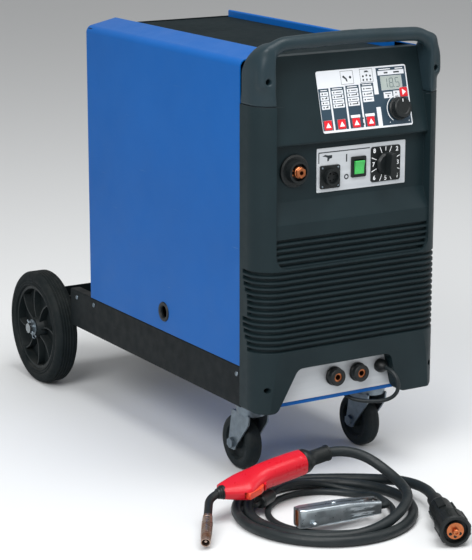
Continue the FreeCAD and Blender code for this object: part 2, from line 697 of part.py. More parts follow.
def rocker_frame():
    face = PLATE_Y - PLATE_SHEET
    side = ROCKER_WIDTH / 2
    high = ROCKER_HEIGHT / 2
    rim = ROCKER_RIM
    outline = [(ROCKER_X - side - rim, PLATE_Z - high - rim), (ROCKER_X + side + rim, PLATE_Z - high - rim),
               (ROCKER_X + side + rim, PLATE_Z + high + rim), (ROCKER_X - side - rim, PLATE_Z + high + rim)]
    flange = front_prism(outline, 2, face - 3, face)
    skirt = block(ROCKER_X - side, ROCKER_X + side, face - 1, PLATE_Y + FRONT_WALL, PLATE_Z - high, PLATE_Z + high)
    wall = 1.2
    hole = block(ROCKER_X - side + wall, ROCKER_X + side - wall, face - 5, PLATE_Y + FRONT_WALL + 1,
                 PLATE_Z - high + wall, PLATE_Z + high - wall)
    return fused([flange, skirt]).cut(hole)


# The rocker leans on its pivot, which lies in the plane of the plate.
def rocker():
    face = PLATE_Y - PLATE_SHEET
    side = ROCKER_WIDTH / 2 - 1.2 - FREE_GAP
    high = ROCKER_HEIGHT / 2 - 1.2 - FREE_GAP - 0.6
    profile = [(face + 6, PLATE_Z - high + 3), (face - 4, PLATE_Z - high), (face - 6.5, PLATE_Z - high + 0.4),
               (face - 5, PLATE_Z), (face - 6.5, PLATE_Z + high - 0.4), (face - 4, PLATE_Z + high),
               (face + 6, PLATE_Z + high - 3)]
    cap = side_prism(profile, [1, 0, 0.8, 30, 0.8, 0, 1], ROCKER_X - side, ROCKER_X + side)
    return cap.rotate(Vector(ROCKER_X, PLATE_Y, PLATE_Z), X_AXIS, ROCKER_TILT)


def selector_dial():
    face = PLATE_Y - PLATE_SHEET
    half = DIAL_SIZE / 2
    outline = [(DIAL_X - half, PLATE_Z - half), (DIAL_X + half, PLATE_Z - half), (DIAL_X + half, PLATE_Z + half),
               (DIAL_X - half, PLATE_Z + half)]
    sheet = front_prism(outline, 5, face - DIAL_SHEET, face)
    return sheet.cut(rod(Vector(DIAL_X, face - 5, PLATE_Z), Y_AXIS, SHAFT_RADIUS + 1, 6))


# Round skirt with a tall finger bar across it.
def selector_knob():
    lift = PLATE_SHEET + DIAL_SHEET + FREE_GAP
    skirt = turned([(0, lift), (SELECTOR_RADIUS, lift), (SELECTOR_RADIUS, lift + 4), (SELECTOR_RADIUS - 3, lift + 8),
                    (0, lift + 8)], Vector(0, 0, 0), Z_AXIS)
    r = SELECTOR_RADIUS
    bar = flat_prism([(-7, -r + 1), (7, -r + 1), (5, r + 1), (-5, r + 1)], 3, lift + 7, lift + SELECTOR_HEIGHT)
    rim = lift + SELECTOR_HEIGHT - 0.01
    bar = bar.makeFillet(1.6, [edge for edge in bar.Edges if edge.CenterOfMass.z > rim])
    shaft = rod(Vector(0, 0, -SHAFT_DEPTH), Z_AXIS, SHAFT_RADIUS, SHAFT_DEPTH + lift)
    return placed(fused([skirt, bar, shaft]), Vector(DIAL_X, PLATE_Y, PLATE_Z), Vector(0, -1, 0), X_AXIS)


def welding_sockets():
    start = Vector(EURO_X, PLATE_Y, EURO_Z)
    out = Vector(0, -1, 0)
    euro = turned([(10, 4 - EURO_PROUD), (EURO_BARREL - 0.2, 4 - EURO_PROUD), (EURO_BARREL - 0.2, 0),
                   (EURO_FLANGE, 0), (EURO_FLANGE, 4), (EURO_FLANGE - 3, 6), (EURO_BARREL, 6),
                   (EURO_BARREL - 1, EURO_PROUD), (EURO_BARREL - 5, EURO_PROUD), (EURO_BARREL - 5, 9), (10, 9)],
                  start, out)
    pieces = [euro]
    for x in SOCKET_XS:
        r = SOCKET_RADIUS
        pieces.append(turned([(8, 0), (r, 0), (r, 3), (r - 1.5, 5), (r - 1.5, SOCKET_PROUD - 1),
                              (r - 2.5, SOCKET_PROUD), (8, SOCKET_PROUD)],
                             Vector(x, CONNECTOR_Y - CONNECTOR_SHEET, SOCKET_Z), out))
    return pieces


def socket_cores():
    out = Vector(0, -1, 0)
    start = Vector(EURO_X, PLATE_Y, EURO_Z)
    euro = turned([(2, -EURO_PROUD - 8), (10, -EURO_PROUD - 8), (10, EURO_PROUD + 1), (8, EURO_PROUD + 3),
                   (4, EURO_PROUD + 3), (4, EURO_PROUD - 12), (2, EURO_PROUD - 12)], start, out)
    pieces = [euro]
    for x in SOCKET_XS:
        pieces.append(turned([(SOCKET_BORE, -6), (8, -6), (8, SOCKET_PROUD - 2), (SOCKET_BORE, SOCKET_PROUD - 2)],
                             Vector(x, CONNECTOR_Y - CONNECTOR_SHEET, SOCKET_Z), out))
    x, z, radius = REAR_HOLES[1]
    back = CASE_LENGTH - SHEET
    inlet = turned([(2.5, -10), (radius, -10), (radius, SHEET), (9, SHEET), (9, SHEET + 4), (6, SHEET + 5),
                    (6, SHEET + 16), (2.5, SHEET + 16)], Vector(x, back - SHEET, z), Y_AXIS)
    return pieces + [inlet]


def connector_plate():
    sheet = block(CONNECTOR_LEFT + 1, CONNECTOR_RIGHT - 1, CONNECTOR_Y, CONNECTOR_Y + CONNECTOR_SHEET,
                  CONNECTOR_BOTTOM, CONNECTOR_TOP)
    holes = [rod(Vector(x, CONNECTOR_Y - 2, SOCKET_Z), Y_AXIS, 8, 6) for x in SOCKET_XS]
    holes.append(rod(Vector(GLAND_X, CONNECTOR_Y - 2, GLAND_Z), Y_AXIS, 8, 6))
    return sheet.cut(holes)


def gland(start, out, radius, bore, length):
    body = turned([(bore, -12), (8, -12), (8, 0), (radius, 0), (radius, 4), (radius - 2, 6), (radius - 3, length - 4),
                   (bore + 2, length), (bore, length)], start, out)
    return body


def cable_glands():
    x, z, radius = REAR_HOLES[0]
    pieces = [gland(Vector(GLAND_X, CONNECTOR_Y, GLAND_Z), Vector(0, -1, 0), GLAND_RADIUS,
                    POLARITY_DIAMETER / 2, 16)]
    back = CASE_LENGTH
    mains = turned([(7, -12), (radius, -12), (radius, -SHEET), (17, -SHEET), (17, 4), (15, 6), (13, 22), (7, 22)],
                   Vector(x, back, z), Y_AXIS)
    face = -HALF
    seal = turned([(GROMMET_RADIUS - 4, -4), (GROMMET_RADIUS, -4), (GROMMET_RADIUS, 0), (GROMMET_RADIUS + 3.5, 0),
                   (GROMMET_RADIUS + 2.5, 2), (GROMMET_RADIUS - 2, 2), (GROMMET_RADIUS - 4, 0)],
                  Vector(face, GROMMET_Y, GROMMET_Z), Vector(-1, 0, 0))
    return pieces + [mains, seal]


# Straight runs joined by arcs as large as the runs allow, as a flexible cord lies.
def cord_path(points, name):
    radii = []
    for before, corner, after in zip(points, points[1:], points[2:]):
        shorter = min(before.distanceToPoint(corner), corner.distanceToPoint(after))
        turn = math.pi - (before - corner).getAngle(after - corner)
        radii.append(0.45 * shorter / math.tan(turn / 2))
    print(name, "radii", [round(radius, 1) for radius in radii])
    return run_path(points, radii)


POLARITY_POINTS = [Vector(GLAND_X, CONNECTOR_Y - 16, GLAND_Z), Vector(GLAND_X + 1, -76, GLAND_Z - 1),
                   Vector(GLAND_X + 5, -90, 184), Vector(GLAND_X + 6, -96, 168), Vector(GLAND_X + 2, -92, 151),
                   Vector(GLAND_X - 9, -79, 140), Vector(GLAND_X - 25, -62, 136), Vector(GLAND_X - 43, -43, 135.5),
                   Vector(GLAND_X - 56, -30, 140), Vector(GLAND_X - 66, -20, 150.5)]


def polarity_lead():
    wire = cord_path(POLARITY_POINTS, "polarity_lead")
    lead = tube_along(wire, POLARITY_DIAMETER / 2)
    print("polarity_lead volume", round(lead.Volume), "section by length",
          round(math.pi * POLARITY_DIAMETER ** 2 / 4 * wire.Length))
    return lead


def fasteners():
    heads = []
    for side in (-1, 1):
        for y, z in ((9, 206), (CASE_LENGTH - 12, 209), (CASE_LENGTH + 60, 209)):
            heads.append(turned([(0, 0), (4.5, 0), (4.5, 1), (3, 2.6), (0, 3)], Vector(side * HALF, y, z),
                                Vector(side, 0, 0)))
        for z in (UPPER_SCREW_Z, LOWER_SCREW_Z):
            heads.append(turned([(0, 0), (4, 0), (4, 2.5), (0, 3.5)], Vector(side * SCREW_X, -FRONT_DEPTH + 44, z),
                                Vector(0, -1, 0)))
        outer = side * (WHEEL_OUTER_X + 1)
        heads.append(ring(Vector(outer, AXLE_Y, WHEEL_RADIUS), Vector(side, 0, 0), 17, AXLE_RADIUS, 2.5))
        pin_x = side * (WHEEL_OUTER_X + 7)
        heads.append(rod(Vector(pin_x, AXLE_Y - 12, WHEEL_RADIUS - 12), Vector(0, 1, 1), 1.8, 36))
    for z in HINGE_ZS:
        low, high = z - HINGE_LENGTH / 2, z + HINGE_LENGTH / 2
        pin = rod(Vector(HINGE_X, HINGE_Y, low), Z_AXIS, HINGE_PIN, HINGE_LENGTH)
        leaves = []
        for z0, z1 in ((low, low + HINGE_LENGTH / 4), (high - HINGE_LENGTH / 4, high)):
            leaves.append(rod(Vector(HINGE_X, HINGE_Y, z0), Z_AXIS, HINGE_RADIUS, z1 - z0))
            leaves.append(block(HALF, HINGE_X, HINGE_Y + 2.5, HINGE_Y + 4.5, z0, z1))
            leaves.append(block(HALF, HALF + 1.5, HINGE_Y + 3, HINGE_Y + 24, z0, z1))
        heads.append(fused([pin] + leaves))
    return heads


def rear_axle():
    axle = rod(Vector(-AXLE_HALF, AXLE_Y, WHEEL_RADIUS), X_AXIS, AXLE_RADIUS, 2 * AXLE_HALF)
    holes = [rod(Vector(side * (WHEEL_OUTER_X + 7), AXLE_Y - 12, WHEEL_RADIUS - 12), Vector(0, 1, 1), 1.8, 36)
             for side in (-1, 1)]
    collars = [ring(Vector(x, AXLE_Y, WHEEL_RADIUS), X_AXIS, 15, AXLE_RADIUS, 17)
               for x in (-PLATFORM_HALF - 17, PLATFORM_HALF)]
    return [axle.cut(holes)] + collars


# Rim, hub barrel and web with curved spokes either side.
def wheel_hub():
    half = WHEEL_WIDTH / 2
    bore = AXLE_RADIUS + RUNNING_GAP
    rim = turned([(RIM_RADIUS - RIM_WALL, -half + 4), (RIM_RADIUS, -half + 4), (RIM_RADIUS, half - 4),
                  (RIM_RADIUS - RIM_WALL, half - 4)], Vector(0, 0, 0), Z_AXIS)
    barrel = turned([(bore, -half), (HUB_RADIUS - 5, -half), (HUB_RADIUS, -half + 14), (HUB_RADIUS, half - 14),
                     (HUB_RADIUS - 5, half), (bore, half)], Vector(0, 0, 0), Z_AXIS)
    web = ring(Vector(0, 0, -2), Z_AXIS, RIM_RADIUS - RIM_WALL + 1, HUB_RADIUS - 1, 4)
    pieces = [rim, barrel, web]
    inner, outer = HUB_RADIUS - 1.5, RIM_RADIUS - RIM_WALL + 1.5
    for i in range(SPOKES):
        angle = 2 * math.pi * i / SPOKES
        pieces.append(spoke(inner, outer, angle, half - 6))
    return fused(pieces)


def spoke(inner, outer, angle, reach):
    def at(radius, turn):
        return Vector(radius * math.cos(angle + turn), radius * math.sin(angle + turn), -reach)
    middle = (inner + outer) / 2
    half = SPOKE_WIDTH / 2
    edges = [Part.Arc(at(inner, -half / inner), at(middle, 0.16 - half / middle), at(outer, -half / outer)).toShape(),
             Part.LineSegment(at(outer, -half / outer), at(outer, half / outer)).toShape(),
             Part.Arc(at(outer, half / outer), at(middle, 0.16 + half / middle), at(inner, half / inner)).toShape(),
             Part.LineSegment(at(inner, half / inner), at(inner, -half / inner)).toShape()]
    return Part.Face(Part.Wire(edges)).extrude(Vector(0, 0, 2 * reach))


def tyre():
    half = WHEEL_WIDTH / 2
    shoulder = WHEEL_RADIUS - 5
    profile = [(RIM_RADIUS, -half + 4), (RIM_RADIUS + 3, -half), (shoulder - 8, -half), (shoulder, -half + 2),
               (WHEEL_RADIUS - 1, -half + 6)]
    span = 2 * (half - 8) / TYRE_GROOVES
    for i in range(TYRE_GROOVES):
        start = -half + 8 + span * i
        profile += [(WHEEL_RADIUS, start), (WHEEL_RADIUS, start + span * 0.55),
                    (WHEEL_RADIUS - 1.6, start + span * 0.65), (WHEEL_RADIUS - 1.6, start + span * 0.9)]
    profile += [(WHEEL_RADIUS, half - 8), (WHEEL_RADIUS - 1, half - 6), (shoulder, half - 2), (shoulder - 8, half),
                (RIM_RADIUS + 3, half), (RIM_RADIUS, half - 4)]
    return turned(profile, Vector(0, 0, 0), Z_AXIS)


def at_wheel(shape, side):
    centre = side * (WHEEL_OUTER_X - WHEEL_WIDTH / 2)
    return placed(shape, Vector(centre, AXLE_Y, WHEEL_RADIUS), Vector(side, 0, 0), Y_AXIS)


def castor_plates():
    pieces = []
    for side in (-1, 1):
        x = side * CASTOR_X
        top = flat_prism([(x - 35, CASTOR_Y - 42), (x + 35, CASTOR_Y - 42), (x + 35, CASTOR_Y + 42),
                          (x - 35, CASTOR_Y + 42)], 5, PAN_Z - CASTOR_PLATE, PAN_Z)
        pin = rod(Vector(x, CASTOR_Y, FORK_CROWN - 2), Z_AXIS, KINGPIN_RADIUS, PAN_Z - CASTOR_PLATE - FORK_CROWN + 3)
        pieces.append(fused([top, pin]))
    return pieces


# Pressed head with its ball race, and a leg each side down to the axle bolt.
def castor_fork(side):
    x = side * CASTOR_X
    top = PAN_Z - CASTOR_PLATE - FREE_GAP
    bore = KINGPIN_RADIUS + RUNNING_GAP
    race = turned([(bore, FORK_CROWN), (26, FORK_CROWN), (31, top - 12), (31, top - 5), (27, top), (bore, top)],
                  Vector(x, CASTOR_Y, 0), Z_AXIS)
    race = race.cut(rod(Vector(x, CASTOR_Y, FORK_CROWN - 10), Z_AXIS, bore, 60))
    axle_y = CASTOR_Y + CASTOR_TRAIL
    crown = FORK_CROWN + FORK_SHEET
    gap = CASTOR_WIDTH / 2 + 3
    outline = [(CASTOR_Y - 24, crown), (CASTOR_Y - 22, FORK_CROWN - 14), (axle_y - 13, CASTOR_RADIUS - 4),
               (axle_y - 9, CASTOR_RADIUS - 13), (axle_y + 9, CASTOR_RADIUS - 13), (axle_y + 13, CASTOR_RADIUS),
               (CASTOR_Y + 34, crown)]
    legs = [side_prism(outline, [3, 8, 10, 8, 8, 14, 3], a, a + FORK_SHEET)
            for a in (x - gap - FORK_SHEET, x + gap)]
    bridge = block(x - gap - 1, x + gap + 1, CASTOR_Y - 20, CASTOR_Y + 30, FORK_CROWN, crown)
    head = fused([race, bridge] + legs)
    head = head.cut(rod(Vector(x, CASTOR_Y, FORK_CROWN - 10), Z_AXIS, bore, 60))
    bolt = rod(Vector(x - gap - FORK_SHEET, axle_y, CASTOR_RADIUS), X_AXIS, CASTOR_AXLE, 2 * (gap + FORK_SHEET))
    head = head.cut(bolt)
    ends = [hexagon(Vector(x - gap - FORK_SHEET - 6, axle_y, CASTOR_RADIUS), X_AXIS, 17, 6),
            hexagon(Vector(x + gap + FORK_SHEET, axle_y, CASTOR_RADIUS), X_AXIS, 17, 6)]
    return [head, fused([bolt] + ends)]


def castor_wheel():
    half = CASTOR_WIDTH / 2
    bore = CASTOR_AXLE + RUNNING_GAP
    rim = CASTOR_RADIUS - 14
    profile = [(bore, -half - 2), (12, -half - 2), (14, -half + 8), (rim - 6, -half + 8), (rim - 3, -half + 1),
               (rim + 4, -half), (CASTOR_RADIUS - 5, -half + 1), (CASTOR_RADIUS - 1.5, -half + 5),
               (CASTOR_RADIUS, -half + 9)]
    profile += [(r, -along) for r, along in profile[::-1]]
    return turned(profile, Vector(0, 0, 0), Z_AXIS)


def bottle_platform():
    inner = HALF - RAIL_SHEET - FREE_GAP
    front = CASE_LENGTH + 2
    neck = CASE_LENGTH + RAIL_OVERHANG
    outline = [(-inner, front), (inner, front), (inner, neck), (PLATFORM_HALF, neck + 8),
               (PLATFORM_HALF, PLATFORM_END), (-PLATFORM_HALF, PLATFORM_END), (-PLATFORM_HALF, neck + 8),
               (-inner, neck)]
    floor = flat_prism(outline, 0, PAN_Z, PAN_Z + PLATFORM_SHEET)
    pieces = [floor]
    top = PAN_Z + PLATFORM_WALL
    for side in (-1, 1):
        outline = [(neck + 8, PAN_Z), (neck + 30, PAN_Z - 4), (AXLE_Y - 22, WHEEL_RADIUS - 6),
                   (AXLE_Y - 14, WHEEL_RADIUS - 18), (AXLE_Y + 14, WHEEL_RADIUS - 18),
                   (AXLE_Y + 22, WHEEL_RADIUS - 6), (PLATFORM_END, PAN_Z), (PLATFORM_END, top), (neck + 8, top)]
        x0 = side * PLATFORM_HALF
        x1 = side * (PLATFORM_HALF - PLATFORM_SHEET)
        pieces.append(side_prism(outline, [0, 6, 8, 12, 12, 8, 3, 12, 12], min(x0, x1), max(x0, x1)))
    pieces.append(block(-PLATFORM_HALF, PLATFORM_HALF, PLATFORM_END - PLATFORM_SHEET, PLATFORM_END, PAN_Z, top))
    tray = fused(pieces)
    return tray.cut(rod(Vector(-AXLE_HALF, AXLE_Y, WHEEL_RADIUS), X_AXIS, AXLE_RADIUS, 2 * AXLE_HALF))


# Upper rest for a gas bottle: a shelf with a curved seat, a back plate and a cheek each side.
def bottle_cradle():
    back = CASE_LENGTH
    half = HALF - 12
    end = back + CRADLE_DEPTH
    shelf = flat_prism([(-half, back), (half, back), (half, back + 20), (half - 44, end), (-half + 44, end),
                        (-half, back + 20)], [0, 0, 8, 14, 14, 8], CRADLE_Z, CRADLE_Z + 2.5)
    seat = rod(Vector(0, end + BOTTLE_RADIUS * 0.55, CRADLE_Z - 5), Z_AXIS, BOTTLE_RADIUS, 20)
    shelf = shelf.cut(seat)
    plate_back = block(-half, half, back, back + 2.5, CRADLE_Z - 20, CRADLE_Z + 38)
    cheeks = [side_prism([(back, CRADLE_Z - 14), (back + 20, CRADLE_Z - 2), (back + 20, CRADLE_Z + 8),
                          (back, CRADLE_Z + 36)], [0, 4, 4, 0], x, x + 2.5) for x in (-half, half - 2.5)]
    return fused([shelf, plate_back] + cheeks)


def door():
    panel = side_prism(door_outline(DOOR_GAP), 7, HALF - SHEET, HALF)
    inner = [(DOOR_FRONT + 8, DOOR_BOTTOM + 8), (DOOR_BACK - 8, DOOR_BOTTOM + 8), (DOOR_BACK - 8, DOOR_TOP - 8),
             (DOOR_FRONT + 8, DOOR_TOP - 8)]
    deeper = side_prism(inner, 5, HALF - SHEET - 10, HALF - SHEET)
    hollow = [(DOOR_FRONT + 10, DOOR_BOTTOM + 10), (DOOR_BACK - 10, DOOR_BOTTOM + 10),
              (DOOR_BACK - 10, DOOR_TOP - 10), (DOOR_FRONT + 10, DOOR_TOP - 10)]
    rim = deeper.cut(side_prism(hollow, 4, HALF - SHEET - 11, HALF - SHEET))
    latch_hole = rod(Vector(HALF - 20, DOOR_FRONT + 30, SPOOL_Z), X_AXIS, SHAFT_RADIUS + RUNNING_GAP, 30)
    pieces = [panel, rim]
    for z in HINGE_ZS:
        low, high = z - HINGE_LENGTH / 4 + FREE_GAP, z + HINGE_LENGTH / 4 - FREE_GAP
        pieces.append(rod(Vector(HINGE_X, HINGE_Y, low), Z_AXIS, HINGE_RADIUS, high - low))
        pieces.append(block(HALF - 0.5, HINGE_X, HINGE_Y - 4.5, HINGE_Y - 2.5, low, high))
        pieces.append(block(HALF - 0.5, HALF + 1.5, HINGE_Y - 26, HINGE_Y - 3, low, high))
    solid = fused(pieces).cut(latch_hole)
    pins = [rod(Vector(HINGE_X, HINGE_Y, z - HINGE_LENGTH), Z_AXIS, HINGE_PIN + RUNNING_GAP, 2 * HINGE_LENGTH)
            for z in HINGE_ZS]
    return solid.cut(pins)


# Turn knob outside, shaft through the door, and a cam that turns behind the edge of the case.
def door_latch():
    y = DOOR_FRONT + 30
    start = Vector(HALF + FREE_GAP, y, SPOOL_Z)
    knob = turned([(0, 0), (14, 0), (14, 6), (12, 8), (0, 8)], start, X_AXIS)
    grip = block(HALF + 6, HALF + 16, y - 3, y + 3, SPOOL_Z - 13, SPOOL_Z + 13)
    shaft = rod(Vector(HALF - 18, y, SPOOL_Z), X_AXIS, SHAFT_RADIUS, 20)
    cam = side_prism([(y - 6, SPOOL_Z - 36), (y + 6, SPOOL_Z - 36), (y + 7, SPOOL_Z + 7), (y - 7, SPOOL_Z + 7)], 4,
                     HALF - 18, HALF - 15)
    return fused([knob, grip, shaft, cam])


def partition():
    back = CASE_LENGTH - 2 * SHEET - FREE_GAP
    wall = block(WALL_X - SHEET, WALL_X, 1, back, DECK_Z, TRAY_Z - 2 * SHEET)
    deck = block(WALL_X - SHEET, HALF - SHEET - FREE_GAP, 1, back, DECK_Z - SHEET, DECK_Z)
    legs = [block(WALL_X - SHEET, WALL_X, y, y + 30, PAN_Z + SHEET, DECK_Z - SHEET) for y in (10, DOOR_BACK)]
    legs += [block(HALF - 30, HALF - 28, y, y + 30, PAN_Z + SHEET, DECK_Z - SHEET) for y in (10, DOOR_BACK)]
    return fused([wall, deck] + legs)


def transformer():
    floor = PAN_Z + SHEET
    y0, y1 = 150, 300
    core = block(-90, 90, y0, y1, floor, floor + 150)
    windows = [block(-60, -20, y0 - 1, y1 + 1, floor + 28, floor + 122),
               block(20, 60, y0 - 1, y1 + 1, floor + 28, floor + 122)]
    core = core.cut(windows)
    outline = [(-56, y0 - 26), (56, y0 - 26), (56, y1 + 26), (-56, y1 + 26)]
    coil = flat_prism(outline, 18, floor + 32, floor + 118)
    coil = coil.cut(block(-20, 20, y0, y1, floor + 20, floor + 130))
    return [core, coil]


def rectifier():
    floor = PAN_Z + SHEET
    base = block(-60, 60, 360, 366, floor, floor + 110)
    fins = [block(-58 + 16.5 * i, -55 + 16.5 * i, 366, 396, floor + 4, floor + 106) for i in range(8)]
    diodes = [hexagon(Vector(x, 360, floor + 60), Vector(0, -1, 0), 20, 14) for x in (-30, 30)]
    return [fused([base] + fins + diodes)]


def fan_motor():
    centre = Vector(FAN_X, FAN_Y - 90, FAN_Z)
    body = rod(centre, Y_AXIS, 34, 50)
    shaft = rod(Vector(FAN_X, FAN_Y - 42, FAN_Z), Y_AXIS, SHAFT_RADIUS, 44)
    foot = block(-30, 30, FAN_Y - 88, FAN_Y - 45, PAN_Z + SHEET, FAN_Z - 20)
    return fused([body, foot, shaft])


def fan():
    hub = ring(Vector(FAN_X, FAN_Y - 16, FAN_Z), Y_AXIS, 20, SHAFT_RADIUS + RUNNING_GAP, 16)
    blades = [hub]
    for i in range(FAN_BLADES):
        blade = Part.makeBox(FAN_RADIUS - 20, 2.0, 36, Vector(18, -1, -18))
        blade.rotate(Vector(0, 0, 0), X_AXIS, 62)
        blade.translate(Vector(0, FAN_Y - 8, 0))
        blade.rotate(Vector(0, 0, 0), Y_AXIS, 360 * i / FAN_BLADES)
        blade.translate(Vector(FAN_X, 0, FAN_Z))
        blades.append(blade)
    whole = fused(blades)
    return whole.common(ring(Vector(FAN_X, FAN_Y - 30, FAN_Z), Y_AXIS, FAN_RADIUS, SHAFT_RADIUS + RUNNING_GAP, 40))


# Plate on the wall with the geared motor below, the roll spindle and the arm's pivot pin.
def feed_motor():
    roll_z = EURO_Z - ROLL_RADIUS
    x0 = WALL_X
    base = side_prism([(70, roll_z - 40), (190, roll_z - 40), (190, EURO_Z + 50), (70, EURO_Z + 50)], 8,
                      x0, x0 + FEED_PLATE)
    face = x0 + FEED_PLATE
    box = block(x0, x0 + 24, ROLL_Y - 24, ROLL_Y + 24, roll_z - 64, roll_z - 24)
    motor = rod(Vector(x0 + 30, ROLL_Y, DECK_Z), Z_AXIS, 26, roll_z - 60 - DECK_Z)
    spindle = rod(Vector(face, ROLL_Y, roll_z), X_AXIS, SHAFT_RADIUS, 46)
    pivot = rod(Vector(face, ROLL_Y + ARM_LENGTH, EURO_Z + ROLL_RADIUS), X_AXIS, SHAFT_RADIUS, 46)
    guide = ring(Vector(EURO_X, 8, EURO_Z), Y_AXIS, 5, 2, 88)
    stay = block(face, EURO_X - 4.8, 76, 92, EURO_Z - 4, EURO_Z + 4)
    return [fused([base, box, motor, spindle, pivot, stay]), guide.cut(stay)]


def grooved_roll():
    half = ROLL_WIDTH / 2
    bore = SHAFT_RADIUS + RUNNING_GAP
    r = ROLL_RADIUS - 0.3
    return turned([(bore, -half), (r, -half), (r, -1.5), (r - 1.2, 0), (r, 1.5), (r, half), (bore, half)],
                  Vector(0, 0, 0), Z_AXIS)


def drive_roll():
    return placed(grooved_roll(), Vector(EURO_X, ROLL_Y, EURO_Z - ROLL_RADIUS), X_AXIS, Y_AXIS)


def pressure_roll():
    return placed(grooved_roll(), Vector(EURO_X, ROLL_Y, EURO_Z + ROLL_RADIUS), X_AXIS, Y_AXIS)


# Forked arm over the upper roll, hinged behind it, with a handle in front.
def pressure_arm():
    z = EURO_Z + ROLL_RADIUS
    half = ROLL_WIDTH / 2 + FREE_GAP
    cheeks = []
    for x0 in (EURO_X - half - 4, EURO_X + half):
        cheeks.append(side_prism([(ROLL_Y - 14, z - 8), (ROLL_Y + ARM_LENGTH + 9, z - 9),
                                  (ROLL_Y + ARM_LENGTH + 9, z + 9), (ROLL_Y - 14, z + 26)], [5, 7, 7, 5],
                                 x0, x0 + 4))
    bridge = block(EURO_X - half - 4, EURO_X + half + 4, ROLL_Y - 12, ROLL_Y + 12, z + 17, z + 24)
    lever = rod(Vector(EURO_X, ROLL_Y - 4, z + 22), Vector(0, -0.5, 1), 5, 42)
    arm = fused(cheeks + [bridge, lever])
    pivot = rod(Vector(EURO_X - 20, ROLL_Y + ARM_LENGTH, z), X_AXIS, SHAFT_RADIUS + RUNNING_GAP, 40)
    axle = rod(Vector(EURO_X - half - 4, ROLL_Y, z), X_AXIS, SHAFT_RADIUS, 2 * half + 8)
    return [arm.cut([pivot, axle]), axle]


def spool_hub():
    start = Vector(WALL_X, SPOOL_Y, SPOOL_Z)
    return turned([(0, 0), (40, 0), (40, 4), (SPOOL_SHAFT - 0.5, 10), (SPOOL_SHAFT - 0.5, SPOOL_STANDOFF + SPOOL_WIDTH),
                   (12, SPOOL_STANDOFF + SPOOL_WIDTH), (12, SPOOL_STANDOFF + SPOOL_WIDTH + 16),
                   (0, SPOOL_STANDOFF + SPOOL_WIDTH + 16)], start, X_AXIS)


def wire_spool():
    x0 = WALL_X + SPOOL_STANDOFF
    w, f = SPOOL_WIDTH, SPOOL_FLANGE
    bore = SPOOL_SHAFT - 0.5 + RUNNING_GAP * 2
    return turned([(bore, 0), (SPOOL_CORE, 0), (SPOOL_RADIUS, 0), (SPOOL_RADIUS, f), (SPOOL_WIRE, f),
                   (SPOOL_WIRE, w - f), (SPOOL_RADIUS, w - f), (SPOOL_RADIUS, w), (bore, w)],
                  Vector(x0, SPOOL_Y, SPOOL_Z), X_AXIS)


# Two arcs that leave one point along its direction and reach the other along its own.
def biarc(p0, t0, p1, t1):
    v = p1 - p0
    t = t0 + t1
    a = 2 * (1 - t0.dot(t1))
    b = v.dot(t)
    if abs(a) < 1e-9:
        d = v.dot(v) / (4 * v.dot(t1))
    else:
        d = (-b + math.sqrt(b * b + a * v.dot(v))) / a
    q0 = p0 + t0 * d
    q1 = p1 - t1 * d
    joint = (q0 + q1) * 0.5
    return [arc_round(p0, q0, joint), arc_round(joint, q1, p1)]


def arc_round(start, corner, end):
    middle = (start + end) * 0.5
    half = (start - corner).getAngle(end - corner) / 2
    reach = start.distanceToPoint(corner)
    radius = reach * math.tan(half)
    lift = radius / math.sin(half) - radius if half > 1e-6 else 0
    on_arc = corner + (middle - corner).normalize() * lift
    return Part.Arc(start, on_arc, end).toShape()


# Places along a coil: at each turn angle a radius and a height.
def coil_point(degrees, radius, height):
    angle = math.radians(degrees)
    return COIL + Vector(radius * math.cos(angle), radius * math.sin(angle), height)


def coil_heading(degrees, inward=0.0, rise=0.0):
    angle = math.radians(degrees)
    around = Vector(-math.sin(angle), math.cos(angle), 0)
    return (around - Vector(math.cos(angle), math.sin(angle), 0) * inward + Vector(0, 0, rise)).normalize()


def wound(nodes):
    edges = []
    for (p0, t0), (p1, t1) in zip(nodes, nodes[1:]):
        edges += biarc(p0, t0, p1, t1)
    return edges


def least_gap(wire, diameter, skip):
    count = int(wire.Length / 6)
    points = wire.discretize(count)
    step = wire.Length / (count - 1)
    apart = int(skip / step)
    least = min(points[i].distanceToPoint(points[j]) for i in range(count) for j in range(i + apart, count))
    return least - diameter


# Quarter-turn places of the hose, from its plug to the torch: (turned so far, radius, height).
HOSE_TURNS = ((90, 153.0, 9.0), (180, 153.0, 9.0), (270, 152.0, 9.0), (360, 146.0, 9.0), (450, 134.0, 9.0),
              (540, 133.0, 9.0), (630, 131.0, 9.0), (720, 136.0, 36.0))
HOSE_START = (180.0, 27.6)


def hose_nodes():
    radius, height = HOSE_START
    nodes = [(coil_point(COIL_START, radius, height), coil_heading(COIL_START, 0.04))]
    for turned_by, radius, height in HOSE_TURNS:
        angle = COIL_START + turned_by
        nodes.append((coil_point(angle, radius, height), coil_heading(angle)))
    end = GRIP_REAR - TORCH_FORWARD * SLEEVE_LENGTH
    nodes.append((end, TORCH_FORWARD))
    return nodes


def cable_nodes():
    clamp = (CLAMP_JAW - CLAMP_TAIL).normalize()
    start = CLAMP_TAIL - clamp.cross(Z_AXIS) * CABLE_OFFSET
    nodes = [(start, clamp * -1)]
    for degrees, radius, height in CABLE_TURNS:
        nodes.append((coil_point(degrees, radius, height), coil_heading(degrees)))
    return nodes


# Places of the earth cable from its clamp to its plug: (angle, radius, height).
CABLE_TURNS = ((-20, 97.0, 19.0), (35, 96.0, 5.6), (120, 98.0, 5.6), (210, 106.0, 5.6), (300, 112.5, 5.6),
               (390, 113.5, 5.6), (455, 104.0, 22.0), (482, 97.0, 24.0))


def straight(start, direction, length):
    return Part.LineSegment(start, start + direction * length).toShape()


